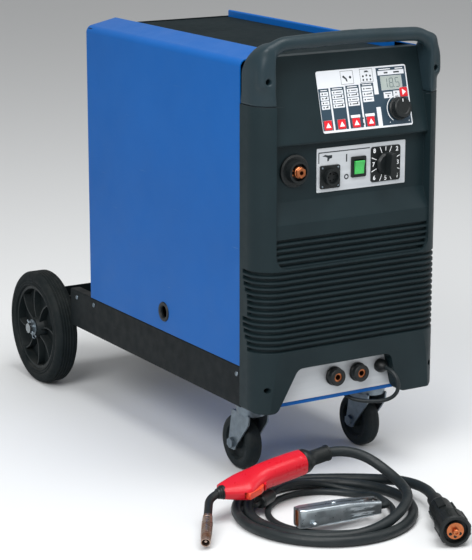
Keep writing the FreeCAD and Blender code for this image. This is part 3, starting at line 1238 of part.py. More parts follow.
def coil_tube(nodes, diameter, name):
    first, heading = nodes[0]
    last, leaving = nodes[-1]
    edges = [straight(first - heading * diameter, heading, diameter)]
    edges += wound(nodes) + [straight(last, leaving, diameter)]
    wire = Part.Wire(edges)
    tube = tube_along(wire, diameter / 2)
    print(name, "length", round(wire.Length), "volume", round(tube.Volume), "section by length",
          round(math.pi * diameter ** 2 / 4 * wire.Length), "least gap to itself",
          round(least_gap(wire, diameter, 6 * diameter), 2))
    return tube


def torch_point(along, down):
    return GRIP_REAR + TORCH_FORWARD * along + TORCH_BELLY * down


# The grip: round at the back, with a flat-sided belly towards the trigger at the front.
def torch_handle():
    sections = []
    for along, half_width, up, down in ((0, 20, 20, 20), (20, 21, 21, 21), (80, 20.5, 21, 22), (110, 18, 20, 27),
                                        (150, 14, 17, 26), (GRIP_LENGTH, 11, 12, 20)):
        corner = min(half_width, (up + down) / 2) * 0.85
        points = [Vector(-half_width, -up, along), Vector(half_width, -up, along), Vector(half_width, down, along),
                  Vector(-half_width, down, along)]
        sections.append(rounded_wire(points, corner))
    grip = Part.makeLoft(sections, True, True)
    slot = block(-TRIGGER_WIDTH / 2 - FREE_GAP, TRIGGER_WIDTH / 2 + FREE_GAP, 12, 40,
                 TRIGGER_PLACE - TRIGGER_LENGTH / 2 - 1, TRIGGER_PLACE + TRIGGER_LENGTH / 2 + 1)
    bores = [rod(Vector(0, 0, -1), Z_AXIS, SLEEVE_RADIUS - 4, 13),
             rod(Vector(0, 4, GRIP_LENGTH - 20), Z_AXIS, NECK_RADIUS, 30)]
    return along_torch(grip.cut([slot] + bores))


def along_torch(shape):
    matrix_x = TORCH_BELLY.cross(TORCH_FORWARD)
    matrix = FreeCAD.Matrix(
        matrix_x.x, TORCH_BELLY.x, TORCH_FORWARD.x, GRIP_REAR.x,
        matrix_x.y, TORCH_BELLY.y, TORCH_FORWARD.y, GRIP_REAR.y,
        matrix_x.z, TORCH_BELLY.z, TORCH_FORWARD.z, GRIP_REAR.z,
        0, 0, 0, 1)
    result = shape.copy()
    result.Placement = FreeCAD.Placement(matrix).multiply(result.Placement)
    return result


def torch_trigger():
    start = TRIGGER_PLACE - TRIGGER_LENGTH / 2
    end = TRIGGER_PLACE + TRIGGER_LENGTH / 2
    half = TRIGGER_WIDTH / 2
    points = [Vector(-half, 15, start), Vector(-half, 30, start), Vector(-half, 33, start + 8),
              Vector(-half, 31, end - 4), Vector(-half, 15, end)]
    return along_torch(prism(points, [0, 2, 6, 3, 0], Vector(TRIGGER_WIDTH, 0, 0)))


# Collar screwed into the grip and the ribbed sleeve that guards the hose.
def torch_sleeve():
    r = SLEEVE_RADIUS
    profile = [(0, 12), (r - 4, 12), (r - 4, 0), (19, 0), (18, -8), (r + 1, -10), (r, -12)]
    for i in range(4):
        z = -14 - 7 * i
        profile += [(r, z), (r, z - 4), (r - 1.2, z - 5), (r - 1.2, z - 6)]
    profile += [(r - 3, -SLEEVE_LENGTH + HOSE_DIAMETER), (HOSE_DIAMETER / 2, -SLEEVE_LENGTH + HOSE_DIAMETER),
                (0, -SLEEVE_LENGTH + HOSE_DIAMETER)]
    return along_torch(turned(profile, Vector(0, 0, 0), Z_AXIS))


def neck_points():
    start = torch_point(GRIP_LENGTH - 20, 4)
    angle = math.radians(NECK_ANGLE)
    leave = torch_point(GRIP_LENGTH + NECK_START, 4)
    nose = TORCH_FORWARD * math.cos(angle) + TORCH_BELLY * math.sin(angle)
    reach = NECK_BEND * math.tan(angle / 2)
    corner = leave + TORCH_FORWARD * reach
    end = corner + nose * (reach + NECK_END)
    return start, corner, end, nose


def torch_neck():
    start, corner, end, nose = neck_points()
    return tube_along(run_path([start, corner, end], [NECK_BEND]), NECK_RADIUS)


def torch_nozzle():
    start, corner, end, nose = neck_points()
    r = NOZZLE_RADIUS
    shell = turned([(0, 0), (r - 1, 0), (r, 2), (r, NOZZLE_LENGTH * 0.6), (r - 1.5, NOZZLE_LENGTH), (r - 3, NOZZLE_LENGTH),
                    (r - 2.5, 12), (0, 12)], end, nose)
    tip = turned([(0, 12), (3, 12), (3, NOZZLE_LENGTH - 8), (2.2, NOZZLE_LENGTH - 3), (0, NOZZLE_LENGTH - 3)], end, nose)
    return [shell, tip]


def plug_start():
    radius, height = HOSE_START
    heading = coil_heading(COIL_START, 0.04)
    return coil_point(COIL_START, radius, height) - heading * HOSE_DIAMETER, heading * -1


def euro_plug():
    start, out = plug_start()
    r = PLUG_BODY
    length = PLUG_LENGTH
    body = turned([(0, 0), (11, 0), (13, 4), (14, 30), (r - 2, 38), (r, 44), (r, length - 46), (r - 3, length - 42),
                   (r - 3, length - 3), (14.5, length - 3), (14.5, length), (0, length)], start, out)
    grips = []
    for i in range(4):
        angle = 90 * i + 20
        clip = block(r - 1, r + 2.5, -6, 6, 52, length - 62)
        clip.rotate(Vector(0, 0, 0), Z_AXIS, angle)
        grips.append(placed(clip, start, out))
    return fused([body] + grips)


def euro_plug_face():
    start, out = plug_start()
    pins = [rod(Vector(0, 0, PLUG_LENGTH), Z_AXIS, 4.5, 9)]
    for angle in (215, 325):
        spot = Vector(8.5 * math.cos(math.radians(angle)), 8.5 * math.sin(math.radians(angle)), PLUG_LENGTH)
        pins.append(rod(spot, Z_AXIS, 1.6, 5))
    disc = rod(Vector(0, 0, PLUG_LENGTH), Z_AXIS, 14, 3)
    return placed(fused([disc] + pins), start, out)


def euro_plug_nut():
    start, out = plug_start()
    bore = PLUG_BODY - 3 + 0.4
    rear, front = PLUG_LENGTH - 40, PLUG_LENGTH - 4
    outer = PLUG_NUT
    profile = [(bore, rear), (outer - 5, rear), (outer - 1, rear + 6), (outer - 1, front + 6), (outer - 3, front + 10),
               (outer - 7, front + 10), (outer - 7, front), (bore, front)]
    shell = turned(profile, Vector(0, 0, 0), Z_AXIS)
    ribs = [shell]
    for i in range(12):
        rib = block(outer - 2.5, outer, -1.8, 1.8, rear + 7, front + 5)
        rib.rotate(Vector(0, 0, 0), Z_AXIS, 30 * i + 15)
        ribs.append(rib)
    return placed(fused(ribs), start, out)


# Clamp frame: X from tail to jaw, Z across the mouth, lying with its pivot upright.
def at_clamp(shape):
    forward = (CLAMP_JAW - CLAMP_TAIL).normalize()
    return placed(shape, CLAMP_TAIL, forward.cross(Z_AXIS), forward)


# One pressed half: a tapering channel with its back outwards.
def clamp_half(side):
    length = CLAMP_LENGTH
    high = CLAMP_HEIGHT / 2
    wide = CLAMP_WIDTH / 2
    outline = [(length, CLAMP_GAP), (length, wide * 0.8), (length * 0.93, wide), (length * 0.62, wide),
               (length * 0.3, wide * 0.95), (2, wide * 1.05), (2, CLAMP_SPREAD), (CLAMP_PIVOT + 4, CLAMP_GAP)]
    solid = front_prism([(x, side * z) for x, z in outline], [0, 2, 6, 20, 20, 2, 0, 0], -high, high)
    taper = flat_prism([(-5, -high * 0.62), (length * 0.45, -high - 0.5), (length + 5, -high - 0.5),
                        (length + 5, high + 0.5), (length * 0.45, high + 0.5), (-5, high * 0.62)],
                       [0, 60, 0, 0, 60, 0], -wide - 5, wide + 5)
    inner = [(-5, 0), (length - 4, 0), (length - 4, wide * 0.8 - 2), (length * 0.62, wide - 2.5),
             (length * 0.3, wide * 0.95 - 2.5), (-5, wide * 1.05 - 2.5)]
    hollow = front_prism([(x, side * z) for x, z in inner], 0, -high * 0.6 + 2, high * 0.6 - 2)
    return solid.common(taper).cut(hollow)


# The two webs that carry the pin, one from each half, side by side.
def clamp_web(side):
    high = CLAMP_HEIGHT / 2
    wide = CLAMP_WIDTH / 2
    inner = high * 0.6 - 2
    foot = sorted((side * (CLAMP_GAP + 0.1), side * (wide - 2.4)))
    tongue = sorted((side * (CLAMP_GAP + 0.2), -side * 5))
    edge = sorted((side * 2, side * (inner + 1)))
    lip = sorted((side * 2, side * (inner - FREE_GAP)))
    return [block(CLAMP_PIVOT - 5, CLAMP_PIVOT + 5, edge[0], edge[1], foot[0], foot[1]),
            block(CLAMP_PIVOT - 5, CLAMP_PIVOT + 5, lip[0], lip[1], tongue[0], tongue[1])]


# Copper contact, and the bolt that holds the cable strap.
def clamp_front():
    high = CLAMP_HEIGHT / 2
    wide = CLAMP_WIDTH / 2
    pin = rod(Vector(CLAMP_PIVOT, -high - 4, 0), Y_AXIS, CLAMP_PIN, 2 * high + 8)
    heads = [rod(Vector(CLAMP_PIVOT, y, 0), Y_AXIS, CLAMP_PIN + 2.5, 3) for y in (-high - 4, high + 1)]
    frame = fused([clamp_half(-1)] + clamp_web(-1)).cut(pin)
    strip = block(CLAMP_LENGTH - 4, CLAMP_LENGTH + 1.5, -high * 0.8, high * 0.8, -CLAMP_GAP - 2, -CLAMP_GAP)
    bolt = rod(Vector(CLAMP_LENGTH - 22, -high * 0.5, -wide - 12), Z_AXIS, 3, 14)
    nut = hexagon(Vector(CLAMP_LENGTH - 22, -high * 0.5, -wide - 4), Z_AXIS, 10, 5)
    fixing = fused([bolt, nut]).cut(frame)
    crimp = ring(Vector(2, 0, -CABLE_OFFSET), X_AXIS, CABLE_DIAMETER / 2 + 1.5, CABLE_DIAMETER / 2, 8)
    pieces = (frame, fused([pin] + heads), strip.cut(frame), fixing, crimp.cut(frame))
    return [at_clamp(piece) for piece in pieces]


def clamp_back():
    high = CLAMP_HEIGHT / 2
    frame = fused([clamp_half(1)] + clamp_web(1))
    frame = frame.cut(rod(Vector(CLAMP_PIVOT, -high - 9, 0), Y_AXIS, CLAMP_PIN + RUNNING_GAP, 2 * high + 18))
    strip = block(CLAMP_LENGTH - 4, CLAMP_LENGTH + 1.5, -high * 0.8, high * 0.8, CLAMP_GAP, CLAMP_GAP + 2)
    return [at_clamp(piece) for piece in (frame, strip.cut(frame))]


def earth_plug():
    last, leaving = cable_nodes()[-1]
    start = last + leaving * CABLE_DIAMETER
    r = EARTH_PLUG_RADIUS
    body = turned([(0, 0), (CABLE_DIAMETER / 2 + 1, 0), (r - 1, 8), (r, 12), (r, EARTH_PLUG_LENGTH - 20),
                   (r - 2, EARTH_PLUG_LENGTH - 16), (0, EARTH_PLUG_LENGTH - 16)], start, leaving)
    pin = turned([(0, 0), (4.5, 0), (4.5, 15), (3.5, 16), (0, 16)],
                 start + leaving * (EARTH_PLUG_LENGTH - 16), leaving)
    return [body, pin]


os.makedirs("parts", exist_ok=True)

left_panel = side_panel(False)
right_panel = mirrored(side_panel(True))
rails = [side_rail(), mirrored(side_rail())]
save("side_panel_left", left_panel)
save("side_panel_right", right_panel)
save("side_rails", *rails)
save("base_pan", base_pan())
save("rear_panel", rear_panel().cut([left_panel, right_panel] + rails))
save("top_tray", top_tray())
save("front_fascia", front_fascia())
save("handle", handle())
save("partition", partition())
save("bottle_platform", bottle_platform())
save("bottle_cradle", bottle_cradle())
save("control_overlay", control_overlay())
for index, (key_u, key_v) in enumerate(KEY_PLACES):
    save("key_" + str(index + 1), key(key_u, key_v))
save("adjust_knob", adjust_knob())
save("switch_plate", switch_plate())
save("remote_socket", remote_socket())
save("rocker_frame", rocker_frame())
save("rocker", rocker())
save("selector_dial", selector_dial())
save("selector_knob", selector_knob())
save("welding_sockets", *welding_sockets())
save("socket_cores", *socket_cores())
save("connector_plate", connector_plate())
save("cable_glands", *cable_glands())
save("polarity_lead", polarity_lead())
save("fasteners", *fasteners())
save("rear_axle", *rear_axle())
hub = wheel_hub()
tread = tyre()
for name, side in (("left", -1), ("right", 1)):
    save("rear_wheel_" + name, at_wheel(hub, side))
    save("rear_tyre_" + name, at_wheel(tread, side))
    save("castor_fork_" + name, *castor_fork(side))
    axle_place = Vector(side * CASTOR_X, CASTOR_Y + CASTOR_TRAIL, CASTOR_RADIUS)
    save("castor_wheel_" + name, placed(castor_wheel(), axle_place, X_AXIS))
save("castor_plates", *castor_plates())
save("door", door())
save("door_latch", door_latch())
save("power_parts", *transformer(), *rectifier())
save("fan_motor", fan_motor())
save("fan", fan())
save("feed_unit", *feed_motor(), spool_hub())
save("drive_roll", drive_roll())
save("pressure_arm", *pressure_arm(), pressure_roll())
save("wire_spool", wire_spool())
save("hose_coil", coil_tube(hose_nodes(), HOSE_DIAMETER, "hose_coil"))
save("torch_handle", torch_handle())
save("torch_trigger", torch_trigger())
save("torch_neck", torch_neck(), torch_sleeve())
save("torch_nozzle", *torch_nozzle())
save("euro_plug_body", euro_plug(), euro_plug_face())
save("euro_plug_nut", euro_plug_nut())
save("clamp_front", *clamp_front())
save("clamp_back", *clamp_back())
save("earth_coil", coil_tube(cable_nodes(), CABLE_DIAMETER, "earth_coil"))
save("earth_plug", *earth_plug())
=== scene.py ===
import math

import bmesh
import bpy
from mathutils import Matrix, Quaternion, Vector


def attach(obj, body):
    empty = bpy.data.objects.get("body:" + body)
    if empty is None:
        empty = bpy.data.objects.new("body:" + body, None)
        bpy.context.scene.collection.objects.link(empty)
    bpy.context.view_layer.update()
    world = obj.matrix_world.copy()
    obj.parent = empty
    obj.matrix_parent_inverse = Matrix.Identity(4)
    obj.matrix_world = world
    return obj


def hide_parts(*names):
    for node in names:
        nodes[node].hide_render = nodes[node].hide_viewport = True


# Wire-feed welder on its cart: looks, printed marks, soft leads and small hardware.
# Lengths are millimetres of the machine; mm and machinePoint turn them into the scene's metres.

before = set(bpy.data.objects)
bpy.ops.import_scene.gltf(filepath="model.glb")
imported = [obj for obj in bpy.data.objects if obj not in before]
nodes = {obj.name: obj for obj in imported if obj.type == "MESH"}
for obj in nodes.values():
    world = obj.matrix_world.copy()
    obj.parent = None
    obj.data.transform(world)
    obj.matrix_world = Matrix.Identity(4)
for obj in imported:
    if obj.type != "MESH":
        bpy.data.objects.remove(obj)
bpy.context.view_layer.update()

machineOrigin = (-85.913, 305.452)  # middle of the footprint in machine millimetres
xAxis, zAxis, toFront = Vector((1, 0, 0)), Vector((0, 0, 1)), Vector((0, -1, 0))


def mm(x, y, z):
    return Vector((x / 1000, y / 1000, z / 1000))


def machinePoint(x, y, z):
    return mm(x - machineOrigin[0], y - machineOrigin[1], z)


def shift(x, y, z):
    return Matrix.Translation(mm(x, y, z))


def basis(x, y, z, origin):
    place = Matrix((x, y, z)).transposed().to_4x4()
    place.translation = origin
    return place


def axes(origin, forward, upright=(0, 0, 1)):
    z = Vector(forward).normalized()
    x = Vector(upright).cross(z)
    if x.length < 1e-4:
        x = Vector((1, 0, 0))
    x.normalize()
    return basis(x, z.cross(x), z, origin)


# meshes and pieces

def newMesh(name, vertices, faces):
    mesh = bpy.data.meshes.new(name)
    mesh.from_pydata([tuple(v) for v in vertices], [], faces)
    return mesh


def inScene(name, data):
    placed = bpy.data.objects.new(name, data)
    bpy.context.scene.collection.objects.link(placed)
    return placed


def cleanMesh(mesh, weld=0.0, recalc=False):
    work = bmesh.new()
    work.from_mesh(mesh)
    if weld:
        bmesh.ops.remove_doubles(work, verts=work.verts, dist=weld)
    if recalc:
        bmesh.ops.recalc_face_normals(work, faces=work.faces)
    work.to_mesh(mesh)
    work.free()
    return mesh


def evaluatedMesh(shape):
    bpy.context.view_layer.update()
    mesh = bpy.data.meshes.new_from_object(shape.evaluated_get(bpy.context.evaluated_depsgraph_get()))
    bpy.data.objects.remove(shape)
    return mesh


def meshParts(mesh):
    return [v.co.copy() for v in mesh.vertices], [tuple(p.vertices) for p in mesh.polygons]


def finishMesh(name, mesh, body, finish, smoothAngle=35, recalc=True):
    if recalc:
        cleanMesh(mesh, 1e-7, True)
    mesh.polygons.foreach_set("use_smooth", [True] * len(mesh.polygons))
    mesh.set_sharp_from_angle(angle=math.radians(smoothAngle))
    piece = inScene(name, mesh)
    piece.data.materials.append(made[finish])
    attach(piece, body)
    return piece


def newPiece(name, body, finish, vertices, faces, smoothAngle=35):
    return finishMesh(name, newMesh(name, vertices, faces), body, finish, smoothAngle)


def gather(parts):
    vertices, faces = [], []
    for some, theirs in parts:
        start = len(vertices)
        vertices += some
        faces += [tuple(i + start for i in face) for face in theirs]
    return vertices, faces


def lathe(profile, place, steps=64):
    count = len(profile)
    turns = [2 * math.pi * i / steps for i in range(steps)]
    vertices = [place @ mm(r * math.cos(turn), r * math.sin(turn), z) for turn in turns for r, z in profile]
    faces = [(i * count + k, (i + 1) % steps * count + k, (i + 1) % steps * count + k + 1, i * count + k + 1)
             for i in range(steps) for k in range(count - 1)]
    if profile[0] != profile[-1]:
        faces += [tuple(i * count + k for i in range(steps)) for k in (0, count - 1) if profile[k][0] > 1e-6]
    return vertices, faces


def gridFaces(rows, columns, wrap=True):
    return [(k * columns + i, k * columns + (i + 1) % columns, (k + 1) * columns + (i + 1) % columns,
             (k + 1) * columns + i) for k in range(rows - 1) for i in range(columns if wrap else columns - 1)]


def tubeFaces(rows, columns):
    ends = [tuple(range(columns)), tuple((rows - 1) * columns + i for i in range(columns))]
    return gridFaces(rows, columns) + ends


def sweptTube(points, radius, steps=32):
    vertices = []
    side = (points[1] - points[0]).normalized().orthogonal().normalized()
    for k, point in enumerate(points):
        ahead = (points[min(k + 1, len(points) - 1)] - points[max(k - 1, 0)]).normalized()
        side = (side - ahead * side.dot(ahead)).normalized()
        other = ahead.cross(side)
        for i in range(steps):
            turn = 2 * math.pi * i / steps
            vertices.append(point + (side * math.cos(turn) + other * math.sin(turn)) * radius / 1000)
    return vertices, tubeFaces(len(points), steps)


def prismParts(outline, z0, z1, place):
    n = len(outline)
    vertices = [place @ mm(x, y, z) for z in (z0, z1) for x, y in outline]
    faces = [tuple(reversed(range(n))), tuple(range(n, 2 * n))]
    faces += [(i, (i + 1) % n, n + (i + 1) % n, n + i) for i in range(n)]
    return vertices, faces


def printed(name, body, finish, outlines, z0, z1, place):
    return newPiece(name, body, finish, *gather([prismParts(o, z0, z1, place) for o in outlines]), smoothAngle=20)


# outlines in a plane

def smoothProfile(points, steps):
    smoothed = []
    for i in range(len(points) - 1):
        a, b = points[max(i - 1, 0)], points[i]
        c, d = points[i + 1], points[min(i + 2, len(points) - 1)]
        for k in range(steps):
            t = k / steps
            smoothed.append(tuple(0.5 * (2 * q + (r - p) * t + (2 * p - 5 * q + 4 * r - s) * t * t
                                         + (3 * q - p - 3 * r + s) * t ** 3) for p, q, r, s in zip(a, b, c, d)))
    return smoothed + [tuple(points[-1])]


def along(table, x):
    for (x0, y0), (x1, y1) in zip(table, table[1:]):
        if x <= x1:
            t = max((x - x0) / (x1 - x0), 0.0)
            return y0 + (y1 - y0) * t * t * (3 - 2 * t)
    return table[-1][1]


def arc(radius, centre, degrees):
    return [(centre[0] + radius * math.cos(math.radians(a)), centre[1] + radius * math.sin(math.radians(a)))
            for a in degrees]


def circle(radius, centre=(0, 0), steps=24, start=0):
    return arc(radius, centre, [start + 360 * i / steps for i in range(steps)])


def rectOutline(rect):
    u0, v0, u1, v1 = rect
    return [(u0, v0), (u1, v0), (u1, v1), (u0, v1)]


def roundedRect(width, height, radius, centre=(0, 0), steps=5):
    points = []
    for sx, sy, start in ((1, 1, 0), (-1, 1, 90), (-1, -1, 180), (1, -1, 270)):
        corner = (centre[0] + sx * (width / 2 - radius), centre[1] + sy * (height / 2 - radius))
        points += arc(radius, corner, [start + 90 * i / steps for i in range(steps + 1)])
    return points


def frameStrips(u0, v0, u1, v1, line):
    return [(u0, v0, u1, v0 + line), (u0, v1 - line, u1, v1), (u0, v0 + line, u0 + line, v1 - line),
            (u1 - line, v0 + line, u1, v1 - line)]


def cutRects(rect, holes):
    rects = [rect]
    for a0, b0, a1, b1 in holes:
        left = []
        for u0, v0, u1, v1 in rects:
            if a1 <= u0 or a0 >= u1 or b1 <= v0 or b0 >= v1:
                left.append((u0, v0, u1, v1))
                continue
            around = ((u0, v0, u1, min(b0, v1)), (u0, max(b1, v0), u1, v1),
                      (u0, max(b0, v0), min(a0, u1), min(b1, v1)), (max(a1, u0), max(b0, v0), u1, min(b1, v1)))
            left += [r for r in around if r[2] - r[0] > 0.01 and r[3] - r[1] > 0.01]
        rects = left
    return rects


# camera

cameraSettings = {"place": (-1.8711, -3.2148, 1.2176), "tilt": 76.104, "pan": -31.172, "lens": 131.66}
cameraData = bpy.data.cameras.new("photoCamera")
cameraData.lens = cameraSettings["lens"]
cameraData.sensor_width = 36
cameraData.clip_start = 0.05
camera = inScene("photoCamera", cameraData)
camera.location = cameraSettings["place"]
camera.rotation_euler = (math.radians(cameraSettings["tilt"]), 0, math.radians(cameraSettings["pan"]))
bpy.context.scene.camera = camera
print("camera ready")


# finishes

def linear(hexColour):
    parts = [int(hexColour[i:i + 2], 16) / 255 for i in (1, 3, 5)]
    return tuple(c / 12.92 if c <= 0.04045 else ((c + 0.055) / 1.055) ** 2.4 for c in parts) + (1.0,)


def addNode(tree, kind, settings=None, inputs=None):
    node = tree.nodes.new(kind)
    for key, value in (settings or {}).items():
        setattr(node, key, value)
    for key, value in (inputs or {}).items():
        if isinstance(value, bpy.types.NodeSocket):
            tree.links.new(value, node.inputs[key])
        else:
            node.inputs[key].default_value = value
    return node


def mathNode(tree, operation, *values):
    return addNode(tree, "ShaderNodeMath", {"operation": operation}, dict(enumerate(values))).outputs[0]


def product(tree, first, *others):
    for value in others:
        first = mathNode(tree, "MULTIPLY", first, value)
    return first


def noise(tree, vector, scale, detail, roughness=0.5):
    return addNode(tree, "ShaderNodeTexNoise", inputs={"Vector": vector, "Scale": scale, "Detail": detail,
                                                      "Roughness": roughness}).outputs[0]


def ranged(tree, value, low, high, toLow=0.0, toHigh=1.0):
    return addNode(tree, "ShaderNodeMapRange", inputs={"Value": value, "From Min": low, "From Max": high,
                                                      "To Min": toLow, "To Max": toHigh}).outputs[0]


def blend(tree, share, first, second):
    return addNode(tree, "ShaderNodeMix", {"data_type": "RGBA"}, {0: share, 6: first, 7: second}).outputs[2]


wear = {"scuffTint": "#A9AFB2", "streaks": (18.0, 18.0, 260.0), "dustTint": "#8E8B84", "dustRoughness": 0.85}


def makeFinish(name, colour, shade, mottle, rough, grain, depth, metal=0.0, coat=0.0, stretch=(1, 1, 1), dust=0.0,
               scuff=0.0, shine=0.3, cells=False, edge=0.0, glow=0.0):
    material = bpy.data.materials.new(name)
    material.use_nodes = True
    tree = material.node_tree
    tree.nodes.clear()
    coords = addNode(tree, "ShaderNodeTexCoord").outputs["Object"]
    mapped = addNode(tree, "ShaderNodeMapping", inputs={"Vector": coords, "Scale": stretch}).outputs[0]
    patches = ranged(tree, noise(tree, mapped, 1000 / mottle, 4.0), 0.3, 0.7)
    base = blend(tree, patches, linear(colour), linear(shade))
    fine = noise(tree, mapped, 1000 / max(mottle * 0.22, 2.0), 6.0)
    roughness = ranged(tree, fine, 0.3, 0.7, *rough)
    if scuff:  # thin rubbed streaks, lighter than the finish
        streaks = addNode(tree, "ShaderNodeMapping", inputs={"Vector": coords, "Scale": wear["streaks"]}).outputs[0]
        lines = ranged(tree, noise(tree, streaks, 1.0, 3.0), 0.66, 0.78)
        where = ranged(tree, noise(tree, coords, 9.0, 2.0), 0.5, 0.7)
        base = blend(tree, product(tree, lines, where, scuff), base, linear(wear["scuffTint"]))
    if dust:  # settles on what faces up and low down
        normal = addNode(tree, "ShaderNodeNewGeometry").outputs["Normal"]
        facing = ranged(tree, addNode(tree, "ShaderNodeSeparateXYZ", inputs={0: normal}).outputs[2], -0.2, 1.0)
        height = addNode(tree, "ShaderNodeSeparateXYZ", inputs={0: coords}).outputs[2]
        low = ranged(tree, height, 0.0, 0.3, 1.0, 0.35)
        cloud = ranged(tree, noise(tree, coords, 38.0, 7.0, 0.7), 0.35, 0.75)
        amount = product(tree, low, facing, cloud, dust)
        base = blend(tree, amount, base, linear(wear["dustTint"]))
        roughness = addNode(tree, "ShaderNodeMix", {"data_type": "FLOAT"},
                            {0: amount, 2: roughness, 3: wear["dustRoughness"]}).outputs[0]
    shader = addNode(tree, "ShaderNodeBsdfPrincipled",
                     inputs={"Base Color": base, "Roughness": roughness, "Metallic": metal, "Coat Weight": coat,
                             "Specular IOR Level": 0.5 if metal else shine})
    if glow:
        shader.inputs["Emission Color"].default_value = linear(colour)
        shader.inputs["Emission Strength"].default_value = glow
    if cells:
        relief = addNode(tree, "ShaderNodeTexVoronoi", {"feature": "SMOOTH_F1"},
                         {"Vector": coords, "Scale": 1000 / grain}).outputs[0]
    else:
        relief = noise(tree, mapped, 1000 / grain, 2.0)
    bump = addNode(tree, "ShaderNodeBump", inputs={"Height": relief, "Strength": 1.0, "Distance": depth / 1000})
    if edge:  # moulded and folded edges are never sharp
        softened = addNode(tree, "ShaderNodeBevel", {"samples": 4}, {"Radius": edge / 1000})
        tree.links.new(softened.outputs[0], bump.inputs["Normal"])
    tree.links.new(bump.outputs[0], shader.inputs["Normal"])
    output = addNode(tree, "ShaderNodeOutputMaterial")
    tree.links.new(shader.outputs[0], output.inputs[0])
    return material


